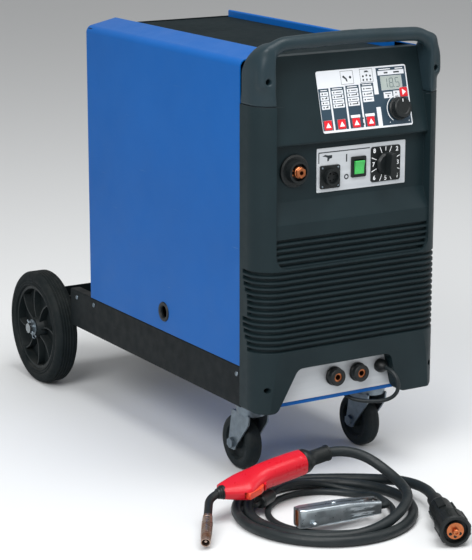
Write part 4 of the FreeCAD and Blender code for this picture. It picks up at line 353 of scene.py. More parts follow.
finishes = {
    # polyester powder coat on steel: even blue, faint orange peel, soft gloss, light rub marks
    "bluePowderCoat": dict(colour="#0557A2", shade="#04529A", mottle=220, rough=(0.34, 0.44), grain=2.2, depth=0.012,
        shine=0.16, scuff=0.15, dust=0.07, edge=0.8),
    # black powder coat on folded steel: satin, dusty low down, worn at handling height
    "blackPowderCoat": dict(colour="#080F12", shade="#0D1518", mottle=90, rough=(0.46, 0.6), grain=1.6, depth=0.02,
        shine=0.12, dust=0.12, scuff=0.2),
    # textured black enamel of the top tray: a fine leather grain
    "trayEnamel": dict(colour="#141D20", shade="#1A2326", mottle=70, rough=(0.72, 0.85), grain=1.8, depth=0.12,
        shine=0.05, cells=True, dust=0.04),
    # injection-moulded ABS: spark-eroded matt grain, cool dark grey
    "mouldedAbs": dict(colour="#152226", shade="#19272B", mottle=80, rough=(0.40, 0.52), grain=0.9, depth=0.05,
        shine=0.16, cells=True, dust=0.03, edge=1.6),
    # the handle's ABS, a little glossier where hands rub it
    "handleAbs": dict(colour="#1C2B30", shade="#223138", mottle=60, rough=(0.34, 0.48), grain=0.9, depth=0.04,
        shine=0.26, cells=True, dust=0.03),
    # glass-filled nylon of sockets, knobs and latch: near black, slight sheen
    "blackNylon": dict(colour="#0F1415", shade="#14191B", mottle=24, rough=(0.36, 0.5), grain=0.7, depth=0.02,
        dust=0.06),
    # anodised aluminium plate, brushed along its length
    "brushedAluminium": dict(colour="#C6CACE", shade="#B8BDC2", mottle=12, rough=(0.36, 0.46), grain=0.8,
        depth=0.004, metal=0.25, stretch=(0.06, 1, 1)),
    # polyester membrane, screen printed on its back: white, slightly matt
    "whiteMembrane": dict(colour="#DCDFE4", shade="#D5D9DE", mottle=40, rough=(0.34, 0.44), grain=0.6, depth=0.004),
    # slate-blue fields printed under the membrane: flat and even
    "slatePrint": dict(colour="#2A3D4B", shade="#2E4250", mottle=30, rough=(0.3, 0.4), grain=0.6, depth=0.004),
    # dark screen-printing ink: thin, hardly any gloss
    "inkPrint": dict(colour="#1B2226", shade="#242B30", mottle=10, rough=(0.35, 0.5), grain=0.5, depth=0.003),
    # white screen-printing ink: opaque, faintly uneven
    "whiteInk": dict(colour="#EDEFF1", shade="#E2E5E8", mottle=8, rough=(0.35, 0.5), grain=0.5, depth=0.003),
    # silicone keys under the membrane, red
    "redKey": dict(colour="#D8232F", shade="#CC1F2C", mottle=9, rough=(0.32, 0.44), grain=0.6, depth=0.006),
    # liquid crystal glass, grey-green, unlit
    "displayGlass": dict(colour="#A9B2AE", shade="#9FA9A5", mottle=18, rough=(0.08, 0.16), grain=3.0, depth=0.002,
        coat=0.4),
    # lit polycarbonate rocker, green
    "greenRocker": dict(colour="#46B25A", shade="#3DA552", mottle=7, rough=(0.24, 0.4), grain=1.4, depth=0.05,
        cells=True, glow=0.12),
    # turned brass of the torch socket, tarnished to a copper brown
    "tarnishedBrass": dict(colour="#B8714A", shade="#9A5B3A", mottle=7, rough=(0.24, 0.45), grain=0.5, depth=0.01,
        metal=1.0),
    # zinc-plated steel: blue-grey, lightly mottled, duller than chrome
    "zincPlate": dict(colour="#7C878F", shade="#67737C", mottle=12, rough=(0.26, 0.46), grain=1.2, depth=0.012,
        metal=0.85, dust=0.08),
    # bare machined steel of axle and rolls: fine turning marks, bright
    "turnedSteel": dict(colour="#9BA1A4", shade="#878E92", mottle=8, rough=(0.22, 0.38), grain=0.5, depth=0.006,
        metal=1.0, stretch=(6, 1, 1)),
    # laminated transformer steel with brown varnish
    "varnishedIron": dict(colour="#5C4A3A", shade="#6B5641", mottle=20, rough=(0.4, 0.6), grain=0.9, depth=0.05,
        metal=0.4, stretch=(1, 8, 1)),
    # solid black rubber of the rear tyres: matt, dusty on the tread
    "tyreRubber": dict(colour="#0F1618", shade="#151C1E", mottle=34, rough=(0.6, 0.8), grain=1.1, depth=0.05,
        shine=0.12, dust=0.16, cells=True),
    # grey-black rubber of the castors: smoother than the rear tyres, as dusty
    "castorRubber": dict(colour="#11191C", shade="#171F22", mottle=22, rough=(0.5, 0.7), grain=1.0, depth=0.03,
        shine=0.16, dust=0.15),
    # moulded polypropylene hub: waxy black with dust in its corners
    "hubPlastic": dict(colour="#141B1D", shade="#1A2123", mottle=30, rough=(0.42, 0.56), grain=0.9, depth=0.03,
        shine=0.22, dust=0.14),
    # gloss red ABS of the torch grip
    "redGrip": dict(colour="#C8192A", shade="#C01726", mottle=60, rough=(0.26, 0.36), grain=2.4, depth=0.006,
        coat=0.06),
    # orange nylon of the trigger: brighter and glossier than the grip
    "orangeTrigger": dict(colour="#E9492F", shade="#DD432B", mottle=14, rough=(0.26, 0.38), grain=0.9, depth=0.01),
    # oil-proof rubber of hose and leads: soft black with a bloom of dust
    "leadRubber": dict(colour="#131B1E", shade="#182023", mottle=26, rough=(0.38, 0.54), grain=1.4, depth=0.02,
        shine=0.32, dust=0.06),
    # nickel-plated copper nozzle, browned by heat
    "scorchedNozzle": dict(colour="#B3A79E", shade="#94694F", mottle=16, rough=(0.24, 0.38), grain=2.0, depth=0.004,
        metal=0.92),
    # galvanised pressed clamp: pale grey, softly uneven shine
    "galvanisedClamp": dict(colour="#C3CBD0", shade="#A3AEB5", mottle=16, rough=(0.26, 0.4), grain=5.0, depth=0.006,
        metal=0.92),
    # copper jaw strips, freshly cut
    "copperStrip": dict(colour="#C77A52", shade="#B0663F", mottle=6, rough=(0.25, 0.42), grain=0.8, depth=0.01,
        metal=1.0),
    # copper-coated welding wire, layer wound
    "coppered": dict(colour="#C98A5E", shade="#B97A50", mottle=5, rough=(0.25, 0.35), grain=1.0, depth=0.01,
        metal=1.0),
    # grey polystyrene of the wire spool: dull and flat
    "spoolPlastic": dict(colour="#3A4145", shade="#434A4E", mottle=30, rough=(0.45, 0.6), grain=1.0, depth=0.03),
    # cast zinc of the feed parts: pale, sandy skin
    "castAlloy": dict(colour="#A6ABAE", shade="#979DA1", mottle=14, rough=(0.42, 0.6), grain=1.3, depth=0.04,
        metal=0.8),
}
made = {name: makeFinish(name, **settings) for name, settings in finishes.items()}
print("finishes made", len(made))

nodeFinishes = {
    "bluePowderCoat": ["side_panel_left", "side_panel_right", "door", "base_pan"],
    "blackPowderCoat": ["side_rails", "rear_panel", "bottle_platform", "bottle_cradle"],
    "trayEnamel": ["top_tray"],
    "mouldedAbs": ["front_fascia"],
    "handleAbs": ["handle"],
    "whiteMembrane": ["control_overlay"],
    "brushedAluminium": ["switch_plate", "connector_plate"],
    "blackNylon": ["remote_socket", "rocker_frame", "selector_dial", "welding_sockets", "cable_glands", "door_latch",
                   "adjust_knob", "selector_knob", "euro_plug_body", "euro_plug_nut", "fan", "pressure_arm",
                   "earth_plug", "torch_neck"],
    "tarnishedBrass": ["socket_cores"],
    "leadRubber": ["polarity_lead", "hose_coil", "earth_coil"],
    "zincPlate": ["fasteners", "castor_plates", "castor_fork_left", "castor_fork_right", "fan_motor", "partition"],
    "turnedSteel": ["rear_axle", "drive_roll"],
    "castAlloy": ["feed_unit"],
    "varnishedIron": ["power_parts"],
    "greenRocker": ["rocker"],
    "spoolPlastic": ["wire_spool"],
    "redGrip": ["torch_handle"],
    "scorchedNozzle": ["torch_nozzle"],
    "galvanisedClamp": ["clamp_front", "clamp_back"],
    "castorRubber": ["castor_wheel_left", "castor_wheel_right"],
    "hubPlastic": ["rear_wheel_left", "rear_wheel_right"],
    "tyreRubber": ["rear_tyre_left", "rear_tyre_right"],
    "redKey": ["key_1", "key_2", "key_3", "key_4", "key_5"],
}
for finish, names in nodeFinishes.items():
    for name in names:
        nodes[name].data.materials.clear()
        nodes[name].data.materials.append(made[finish])
print("finishes on", sum(len(names) for names in nodeFinishes.values()), "solids")


# soft leads: two arcs join each pair of route points, so no bend is tighter than the lead allows

def arcPoints(start, corner, end, step):
    back, ahead = (start - corner).normalized(), (end - corner).normalized()
    bisector = back + ahead
    if bisector.length < 1e-4:
        count = max(int((end - start).length / step), 1)
        return [start.lerp(end, i / count) for i in range(count)]
    half = back.angle(ahead) / 2
    centre = corner + bisector.normalized() * ((start - corner).length / math.cos(half))
    arm, goal = start - centre, end - centre
    sweep = arm.angle(goal)
    count = max(int(arm.length * sweep / step), 2)
    axis = arm.cross(goal).normalized()
    return [centre + Quaternion(axis, sweep * i / count) @ arm for i in range(count)]


def biarcPoints(p0, t0, p1, t1, step):
    v, t = p1 - p0, t0 + t1
    a, b = 2 * (1 - t0.dot(t1)), v.dot(t)
    if abs(a) < 1e-9:
        reach = v.length_squared / (4 * v.dot(t1))
    else:
        reach = (-b + math.sqrt(b * b + a * v.length_squared)) / a
    q0, q1 = p0 + t0 * reach, p1 - t1 * reach
    middle = (q0 + q1) / 2
    return arcPoints(p0, q0, middle, step) + arcPoints(middle, q1, p1, step)


def coilNode(centre, degrees, radius, height, inward=0.0):
    turn = math.radians(degrees)
    outward = Vector((math.cos(turn), math.sin(turn), 0))
    around = Vector((-math.sin(turn), math.cos(turn), 0)) - outward * inward
    place = machinePoint(centre[0] + radius * math.cos(turn), centre[1] + radius * math.sin(turn), height)
    return place, around.normalized()


def leadRoute(route, step, straight):
    first, heading = route[0]
    last, leaving = route[-1]
    points = [first - heading * straight]
    for (p0, t0), (p1, t1) in zip(route, route[1:]):
        points += biarcPoints(p0, t0, p1, t1, step)
    return points + [last, last + leaving * straight]


def cordPiece(name, points, diameter, finish, body):
    curve = bpy.data.curves.new(name, "CURVE")
    curve.dimensions = "3D"
    curve.bevel_depth = diameter / 2
    curve.bevel_resolution = 5
    curve.use_fill_caps = True
    curve.resolution_u = 4
    spline = curve.splines.new("NURBS")
    spline.points.add(len(points) - 1)
    for point, place in zip(spline.points, points):
        point.co = (*place, 1.0)
    spline.order_u = 3
    spline.use_endpoint_u = True
    curve.materials.append(made[finish])
    piece = inScene(name, curve)
    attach(piece, body)
    return piece


def runLength(points):
    return sum((b - a).length for a, b in zip(points, points[1:]))


torch = {"forward": (-0.99118, -0.02, -0.13102), "belly": (0.04877, -0.97423, -0.22021), "rear": (-135.0, -116.0, 72.0),
         "sleeve": 46.0, "grip": 166.0}
torchForward = Vector(torch["forward"]).normalized()
torchBelly = Vector(torch["belly"]).normalized()
torchRear = machinePoint(*torch["rear"])
torchPlace = basis(torchBelly.cross(torchForward), torchBelly, torchForward, torchRear)

# turns are (degrees on from the start, radius, height)
hose = {"diameter": 18.0, "centre": (-132.0, -189.0), "start": -26.0, "startRadius": 180.0, "startHeight": 27.6,
        "inward": 0.04, "step": 11.0,
        "turns": ((90, 153, 9), (180, 153, 9), (270, 152, 9), (360, 146, 9), (450, 134, 9), (540, 133, 9),
                  (630, 131, 9), (720, 136, 36))}
hoseRoute = [coilNode(hose["centre"], hose["start"], hose["startRadius"], hose["startHeight"], hose["inward"])]
for turnedBy, radius, height in hose["turns"]:
    hoseRoute.append(coilNode(hose["centre"], hose["start"] + turnedBy, radius, height))
hoseRoute.append((torchRear - torchForward * torch["sleeve"] / 1000, torchForward))
hosePoints = leadRoute(hoseRoute, hose["step"] / 1000, hose["diameter"] / 1000)[::-1]
hosePiece = cordPiece("torchHose", hosePoints, hose["diameter"] / 1000, "leadRubber", "leads")
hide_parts("hose_coil")
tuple(hosePoints[0])
runLength(hosePoints)

# turns are (degrees, radius, height) round the hose's centre
earth = {"diameter": 11.0, "tail": (-78.0, -262.0, 29.0), "jaw": (-226.0, -244.0, 29.0), "offset": 7.0, "step": 9.0,
         "turns": ((-20, 97, 19), (35, 96, 5.6), (120, 98, 5.6), (210, 106, 5.6), (300, 112.5, 5.6), (390, 113.5, 5.6),
                   (455, 104, 22), (482, 97, 24))}
clampTail, clampJaw = machinePoint(*earth["tail"]), machinePoint(*earth["jaw"])
clampForward = (clampJaw - clampTail).normalized()
clampAcross = clampForward.cross(zAxis)
earthStart = clampTail - clampAcross * earth["offset"] / 1000
earthRoute = [(earthStart, -clampForward)] + [coilNode(hose["centre"], *turn) for turn in earth["turns"]]
earthPoints = leadRoute(earthRoute, earth["step"] / 1000, earth["diameter"] / 1000)
earthPiece = cordPiece("earthLead", earthPoints, earth["diameter"] / 1000, "leadRubber", "leads")
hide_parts("earth_coil")
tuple(earthPoints[0])
runLength(earthPoints)

polarity = {"diameter": 7.0, "length": 0.168, "gland": (75, -45.0, 195),
            "points": ((75, -60, 195), (76, -76, 194), (80, -90, 184), (81, -96, 168), (77, -92, 151),
                       (66, -79, 140), (50, -62, 136), (32, -43, 135.5), (19, -30, 140), (9, -20, 150.5)),
            "boot": ((0, 0.4), (11.6, 0.4), (12.3, 1.4), (12.4, 3.4), (11.9, 6.4), (10.6, 9.6), (8.6, 12.4),
                     (6.6, 14.6), (5.2, 16.4), (4.5, 18.2), (3.5, 18.6), (0, 18.6))}
polarityPoints = [machinePoint(*p) for p in polarity["points"]]
polarityPiece = cordPiece("polarityLead", polarityPoints, polarity["diameter"] / 1000, "leadRubber", "machine")
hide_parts("polarity_lead")
bootPiece = newPiece("leadBoot", "machine", "blackNylon",
                     *lathe(polarity["boot"], axes(machinePoint(*polarity["gland"]), toFront), 48))
print("leads laid", *(round(runLength(points), 3) for points in (hosePoints, earthPoints, polarityPoints)))


# torch: grip sections are (from the hose end, half width, up, down)

grip = {"sections": ((0, 20, 20, 20), (20, 21, 21, 21), (76, 20.5, 21, 22), (100, 18.5, 20, 28), (126, 17, 19, 39.5),
                     (141, 15, 17, 34), (157, 12.5, 14, 24), (166, 11, 12, 18)),
        "seam": 0.45, "seamWidth": 0.7, "turns": 72, "square": 2.7, "grooves": (13, 17), "groove": 0.5}


def gripRing(fromRear, wide, up, down, inset=0.0):
    ring = []
    for i in range(grip["turns"]):
        turn = 2 * math.pi * i / grip["turns"]
        c, s = math.cos(turn), math.sin(turn)
        size = (abs(c) ** grip["square"] + abs(s) ** grip["square"]) ** (-1 / grip["square"])
        x = size * c * (wide - inset)
        y = size * s * ((down if s > 0 else up) - inset)
        y -= grip["seam"] * math.exp(-(x / grip["seamWidth"]) ** 2) * (1 if y > 0 else -1)
        ring.append(torchPlace @ mm(x, y, fromRear))
    return ring


rows = smoothProfile(grip["sections"], 12)
rings = [gripRing(*rows[0], inset=3.0), gripRing(*rows[0], inset=1.2)]
for row in rows[1:]:
    grooved = any(abs(row[0] - groove) < 1.2 for groove in grip["grooves"])
    rings.append(gripRing(*row, inset=grip["groove"] if grooved else 0.0))
rings.append(gripRing(torch["grip"] + 0.4, *rows[-1][1:], inset=2.0))
gripParts = ([v for ring in rings for v in ring], tubeFaces(len(rings), grip["turns"]))

hookPlace = basis(torchForward, torchBelly, torchForward.cross(torchBelly), torchRear)
hookOutline = [(82, 17), (96.6, 20), (96.6, 30.5), (95.4, 31.6), (93.6, 30.4), (90.5, 25.0), (84, 21.8)]
hook = newPiece("triggerGuard", "leads", "redGrip", *prismParts(hookOutline, -6.0, 6.0, hookPlace))

# the moulded lever is deeper towards its front edge, and the grip has a slot for it when squeezed
trigger = {"deeper": 12.5, "sideRoom": 0.7, "rearRoom": 1.4, "frontRoom": 1.6, "topRoom": 3.6, "slotEnd": 60}
triggerMesh = cleanMesh(nodes["torch_trigger"].data.copy(), 1e-6)
toHook = hookPlace.inverted()
spots = [toHook @ v.co for v in triggerMesh.vertices]
lowX, highX = min(p.x for p in spots), max(p.x for p in spots)
lowY, highY = min(p.y for p in spots), max(p.y for p in spots)
for vertex, spot in zip(triggerMesh.vertices, spots):
    ramp = (spot.y - lowY) / (highY - lowY) * (spot.x - lowX) / (highX - lowX)
    vertex.co = hookPlace @ (spot + mm(0, trigger["deeper"] * ramp, 0))
triggerMesh.materials.clear()
sideways = max(abs(p.z) for p in spots) * 1000 + trigger["sideRoom"]
slotRect = (lowX * 1000 - trigger["rearRoom"], lowY * 1000 - trigger["topRoom"],
            highX * 1000 + trigger["frontRoom"], trigger["slotEnd"])
slotParts = prismParts(rectOutline(slotRect), -sideways, sideways, hookPlace)
gripShape = inScene("gripSolid", cleanMesh(newMesh("gripSolid", *gripParts), recalc=True))
slotShape = inScene("gripSlot", cleanMesh(newMesh("gripSlot", *slotParts), recalc=True))
slotCut = gripShape.modifiers.new("slot", "BOOLEAN")
slotCut.operation = "DIFFERENCE"
slotCut.solver = "EXACT"
slotCut.object = slotShape
gripPiece = finishMesh("torchGrip", evaluatedMesh(gripShape), "leads", "redGrip", 40)
bpy.data.objects.remove(slotShape)
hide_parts("torch_handle")
triggerPiece = finishMesh("triggerLever", triggerMesh, "torch_trigger", "orangeTrigger", 30)
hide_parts("torch_trigger")
print("grip slot", *(round(value, 1) for value in (*slotRect, sideways)))

# rubber sleeve behind the grip: a collar, a cone and a plain tube with a small step on the hose
sleeveProfile = [(0, 11), (11, 11), (11, 0.2), (20.4, 0.2), (21.3, -1.4), (21.3, -5.6), (20.2, -8.6), (17.4, -13.4),
                 (14.9, -17.6), (13.7, -21.5), (13.4, -26), (13.4, -49.4), (14.1, -50), (14.1, -53.4), (13.3, -54),
                 (9.2, -54.2), (0, -54.2)]
sleevePiece = newPiece("torchSleeve", "leads", "blackNylon", *lathe(sleeveProfile, torchPlace, 72))

# swan neck: insulated tube with a stepped collar at the grip; its corner and end are metres in the scene
neck = {"start": (0, 4, 146), "corner": (-0.238, -0.4292, 0.0461), "end": (-0.2765, -0.4881, 0.0275),
        "nose": (-0.52857, -0.80952, -0.25554), "bend": 40.0, "step": 2.0, "radius": 7.05,
        "collar": ((7.0, -4), (12.2, -4), (12.4, 0.5), (11.6, 1.6), (10.4, 2.2), (10.4, 4.6), (9.8, 5.4), (9.2, 5.8),
                   (9.2, 8.4), (8.4, 9.6), (7.0, 10)),
        "adapter": ((7.0, -16), (8.0, -16), (8.2, -15.4), (8.2, -9.5), (7.6, -9), (7.6, -7.4), (8.6, -7), (8.6, -1.2),
                    (7.4, -0.6), (7.0, -0.6))}
neckStart, neckCorner, neckEnd = torchPlace @ mm(*neck["start"]), Vector(neck["corner"]), Vector(neck["end"])
backWay = (neckStart - neckCorner).normalized()
onWay = (neckEnd - neckCorner).normalized()
reach = neck["bend"] / 1000 / math.tan(backWay.angle(onWay) / 2)
entry, leave = neckCorner + backWay * reach, neckCorner + onWay * reach
neckLine = [neckStart.lerp(entry, i / 6) for i in range(6)] + arcPoints(entry, neckCorner, leave, neck["step"] / 1000)
neckLine += [leave.lerp(neckEnd, i / 12) for i in range(13)]
neckPiece = newPiece("torchNeck", "leads", "blackNylon", *sweptTube(neckLine, neck["radius"]), 40)
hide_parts("torch_neck")
collarPiece = newPiece("neckCollar", "leads", "blackNylon",
                       *lathe(neck["collar"], torchPlace @ shift(0, 4, torch["grip"]), 48))
adapterPiece = newPiece("nozzleAdapter", "leads", "scorchedNozzle",
                        *lathe(neck["adapter"], axes(neckEnd, neck["nose"]), 48))
print("torch dressed")


# repeated pieces by geometry nodes

def newTree(name, asked):
    tree = bpy.data.node_groups.new(name, "GeometryNodeTree")
    for way in ("INPUT", "OUTPUT"):
        tree.interface.new_socket(name="Geometry", in_out=way, socket_type="NodeSocketGeometry")
    for label, kind, value in asked:
        socket = tree.interface.new_socket(name=label, in_out="INPUT", socket_type="NodeSocket" + kind)
        if value is not None:
            socket.default_value = value
    return tree, tree.nodes.new("NodeGroupInput").outputs


def closeTree(tree, placed, material):
    real = addNode(tree, "GeometryNodeRealizeInstances", inputs={0: placed}).outputs[0]
    coloured = addNode(tree, "GeometryNodeSetMaterial", inputs={"Geometry": real, "Material": material}).outputs[0]
    tree.links.new(coloured, tree.nodes.new("NodeGroupOutput").inputs[0])
    return tree


def ringTree():
    tree, given = newTree("ringOfBars", (("Count", "Int", 12), ("Radius", "Float", 0.02), ("Bar Width", "Float", 0.002),
                                         ("Bar Depth", "Float", 0.001), ("Bar Height", "Float", 0.01),
                                         ("Start Angle", "Float", 0.0), ("Material", "Material", None)))
    index = addNode(tree, "GeometryNodeInputIndex").outputs[0]
    share = mathNode(tree, "DIVIDE", index, given["Count"])
    turn = mathNode(tree, "MULTIPLY_ADD", share, 2 * math.pi, given["Start Angle"])
    across = product(tree, mathNode(tree, "COSINE", turn), given["Radius"])
    upwards = product(tree, mathNode(tree, "SINE", turn), given["Radius"])
    spin = addNode(tree, "ShaderNodeCombineXYZ", inputs={2: turn}).outputs[0]
    place = addNode(tree, "ShaderNodeCombineXYZ", inputs={0: across, 1: upwards}).outputs[0]
    points = addNode(tree, "GeometryNodePoints", inputs={"Count": given["Count"], "Position": place}).outputs[0]
    size = addNode(tree, "ShaderNodeCombineXYZ",
                   inputs={0: given["Bar Depth"], 1: given["Bar Width"], 2: given["Bar Height"]}).outputs[0]
    bar = addNode(tree, "GeometryNodeMeshCube",
                  inputs={"Size": size, "Vertices X": 2, "Vertices Y": 3, "Vertices Z": 2}).outputs[0]
    placed = addNode(tree, "GeometryNodeInstanceOnPoints",
                     inputs={"Points": points, "Instance": bar, "Rotation": spin}).outputs[0]
    return closeTree(tree, placed, given["Material"])


def placesTree():
    tree, given = newTree("partsAtPlaces", (("Part", "Object", None), ("Size", "Float", 1.0), ("Turn Seed", "Int", 3),
                                            ("Material", "Material", None)))
    aim = addNode(tree, "GeometryNodeInputNamedAttribute", {"data_type": "FLOAT_VECTOR"}, {"Name": "aim"}).outputs[0]
    spin = addNode(tree, "FunctionNodeRandomValue", {"data_type": "FLOAT"},
                   {2: 0.0, 3: 6.28, "Seed": given["Turn Seed"]}).outputs[1]
    start = addNode(tree, "ShaderNodeCombineXYZ", inputs={2: spin}).outputs[0]
    facing = addNode(tree, "FunctionNodeAlignRotationToVector", {"axis": "Z"}, {"Vector": aim}).outputs[0]
    both = addNode(tree, "FunctionNodeRotateRotation", {"rotation_space": "LOCAL"},
                   {"Rotation": facing, "Rotate By": start}).outputs[0]
    part = addNode(tree, "GeometryNodeObjectInfo", {"transform_space": "ORIGINAL"},
                   {"Object": given["Part"]}).outputs["Geometry"]
    size = addNode(tree, "ShaderNodeCombineXYZ", inputs={i: given["Size"] for i in range(3)}).outputs[0]
    placed = addNode(tree, "GeometryNodeInstanceOnPoints",
                     inputs={"Points": given["Geometry"], "Instance": part, "Rotation": both, "Scale": size}).outputs[0]
    return closeTree(tree, placed, given["Material"])


ringNodes = ringTree()
placesNodes = placesTree()


def grow(name, tree, values, body, finish, place=None, points=()):
    seedMesh = newMesh(name + "Seed", [p for p, aim in points], [])
    attribute = seedMesh.attributes.new("aim", "FLOAT_VECTOR", "POINT")
    for i, (p, aim) in enumerate(points):
        attribute.data[i].vector = aim
    seed = inScene(name + "Seed", seedMesh)
    modifier = seed.modifiers.new("shape", "NODES")
    modifier.node_group = tree
    identifiers = {item.name: item.identifier for item in tree.interface.items_tree if item.in_out == "INPUT"}
    for key, value in {**values, "Material": made[finish]}.items():
        modifier[identifiers[key]] = value
    mesh = evaluatedMesh(seed)
    if place is not None:
        mesh.transform(place)
    mesh.materials.clear()
    return finishMesh(name, mesh, body, finish, recalc=False)


# control panel: its plane runs u across and v up the slope

panel = {"origin": (34.0, -62.0, 610.0), "start": 16.0, "rise": (0, 40, 147), "out": (0, -147, 40),
         "keys": ((-82, 13), (-54, 13), (-24, 13), (6, 13), (82, 58)), "keyHole": (8.2, 8.7), "knob": (66, 30)}
slope = Vector(panel["rise"]).normalized()
panelPlace = basis(xAxis, slope, Vector(panel["out"]).normalized(),
                   machinePoint(*panel["origin"]) + slope * panel["start"] / 1000)
holeWide, holeHigh = panel["keyHole"]
holeRects = [(u - holeWide, v - holeHigh, u + holeWide, v + holeHigh) for u, v in panel["keys"]]
holeRects += [(61.5, 25.5, 70.5, 34.5), (36.8, 63.8, 81.2, 88.2)]  # knob shaft and display window
slateRects = []
for area in ((-92.6, 4.0, -71.5, 76.0), (-68.0, 4.0, -40.5, 76.5), (-37.0, 4.0, -9.5, 77.5), (-6.0, 4.0, 21.0, 79.0),
             (21.0, 36.0, 30.0, 58.0), (30.0, 3.0, 90.6, 103.2)):
    slateRects += cutRects(area, holeRects)

# columns are (left, right, cells, top); every second cell gets a shorter line and a dot
cellRects, inkShapes, whiteMarks = [], [], []
columns = ((-89.6, -73.4, 4, 70.0), (-66.0, -43.0, 4, 71.0), (-34.8, -12.0, 4, 72.0), (-3.8, 18.4, 3, 73.5))
for u0, u1, count, top in columns:
    high = 6.6 if count == 4 else 8.2
    for k in range(count):
        v1 = top - k * (high + 1.1)
        middle = v1 - high / 2
        cellRects.append((u0, v1 - high, u1, v1))
        inkShapes.append(circle(1.5, (u0 + 4.2, middle), 12))
        inkShapes.append(rectOutline((u0 + 8, middle - 0.7 - 0.3 * (k % 2), u1 - 3, middle + 0.7)))
        if k % 2:
            inkShapes.append(circle(1.2, (u1 - 4, middle + 1.4), 10))
    whiteMarks.append(rectOutline((u0 + 1.5, top + 2.2, u1 - 1.5, top + 3.6)))
cellRects += [(33.0, 90.0, 88.0, 97.6), (40.0, 50.0, 58.0, 60.5), (60.0, 48.5, 73.2, 61.5)]
whiteMarks += [rectOutline((36.0, 99.2, 60.0, 100.8)), rectOutline((70.0, 99.2, 86.0, 100.8)),
               circle(1.1, (86.0, 8.0), 12), circle(0.8, (46.0, 8.0), 10)]
for mark in ((46.0, 92.4, 54.0, 95.0), (66.0, 92.4, 78.0, 95.0), (43.0, 57.0, 55.0, 58.2), (63.0, 51.0, 70.0, 52.4),
             (-11.0, 8.0, -8.0, 11.4)):
    inkShapes.append(rectOutline(mark))
for dot in ((1.8, (49.0, 53.5), 14), (1.4, (66.0, 58.0), 12), (2.3, (-24.5, 91.5), 16), (1.5, (-9.0, 19.5), 12)):
    inkShapes.append(circle(*dot))
for box in ((-44.0, 80.0, -18.0, 103.0), (-4.0, 80.5, 22.5, 103.5)):  # the two framed signs
    inkShapes += [rectOutline(strip) for strip in frameStrips(*box, 0.55)]
for k in range(3):
    inkShapes.append(circle(1.9, (2.0 + 7.4 * k, 91.0 + (1.2 if k == 1 else 0)), 14))
    inkShapes.append(rectOutline((0.6 + 7.4 * k, 83.0, 3.4 + 7.4 * k, 86.4)))
inkShapes += [[(-41.0, 93.0), (-38.0, 95.5), (-32.0, 90.0), (-30.5, 84.5), (-33.0, 84.5), (-34.5, 88.5)],
              [(4.6, 97.6), (7.0, 100.4), (12.0, 100.4), (14.6, 97.6)]]
for u in (-24.0, 6.0):  # the two white tabs above the middle keys
    whiteMarks.append(rectOutline((u - 9.5, 22.0, u + 9.5, 26.5)))
crescent = arc(23.6, panel["knob"], range(95, 236, 5)) + arc(22.2, panel["knob"], range(235, 94, -5))

display = {"centre": (59, 76), "size": (43.6, 23.6), "corner": 0.9, "digits": "185", "pitch": 12.5}
glassOutline = roundedRect(*display["size"], display["corner"], display["centre"])
segmentRects = {"a": (-3, 7.2, 3, 8.2), "g": (-3, -0.5, 3, 0.5), "d": (-3, -8.2, 3, -7.2), "f": (-4, 0.6, -3, 7.6),
                "b": (3, 0.6, 4, 7.6), "e": (-4, -7.6, -3, -0.6), "c": (3, -7.6, 4, -0.6)}
digitSegments = {"1": "bc", "8": "abcdefg", "5": "afgcd"}
lit = []
for i, digit in enumerate(display["digits"]):
    digitX, digitY = display["centre"][0] + display["pitch"] * (i - 1), display["centre"][1]
    for key in digitSegments[digit]:
        x0, y0, x1, y1 = segmentRects[key]
        lit.append(rectOutline((digitX + x0, digitY + y0, digitX + x1, digitY + y1)))
lit.append(rectOutline((64.6, 67.8, 65.8, 69.0)))  # decimal point

# each layer has its outlines and its lower and upper level above the panel's plane
panelLayers = (("panelSlate", "slatePrint", map(rectOutline, slateRects), (1.0, 1.05)),
               ("panelCells", "whiteMembrane", map(rectOutline, cellRects), (1.05, 1.09)),
               ("panelWhiteMarks", "whiteInk", whiteMarks, (1.05, 1.09)),
               ("panelInk", "inkPrint", inkShapes, (0.99, 1.12)),
               ("knobCrescent", "whiteInk", [crescent], (1.05, 1.1)),
               ("displayGlass", "displayGlass", [glassOutline], (0.6, 0.86)),
               ("displayDigits", "slatePrint", lit, (0.86, 0.9)))
for name, finish, outlines, levels in panelLayers:
    layer = printed(name, "machine", finish, outlines, *levels, panelPlace)

arrow = {"up": [(-5.2, -4.0), (5.2, -4.0), (0.0, 4.6)], "right": [(-3.6, -5.4), (4.4, 0.0), (-3.6, 5.4)]}
for i, (u, v) in enumerate(panel["keys"]):
    shape = [(x + u, y + v) for x, y in arrow["right" if i == 4 else "up"]]
    mark = printed("keyArrow%d" % (i + 1), "key_%d" % (i + 1), "whiteInk", [shape], 2.38, 2.46, panelPlace)

# flute sizes are metres, as the node tree takes them
knob = {"flutes": {"Count": 28, "Radius": 0.0176, "Bar Width": 0.0016, "Bar Depth": 0.0012, "Bar Height": 0.0095},
        "middle": 11.6, "top": (18.4, 18.6), "pointer": (1.4, 5.0, 0.6), "pointerOut": 12.6}
knobX, knobY = panel["knob"]
flutes = grow("knobFlutes", ringNodes, knob["flutes"], "adjust_knob", "blackNylon",
              panelPlace @ shift(knobX, knobY, knob["middle"]))
pointerOutline = roundedRect(*knob["pointer"], (knobX, knobY + knob["pointerOut"]))
pointer = printed("knobPointer", "adjust_knob", "whiteInk", [pointerOutline], *knob["top"], panelPlace)
print("panel printed")


# switch plate, dial and torch socket

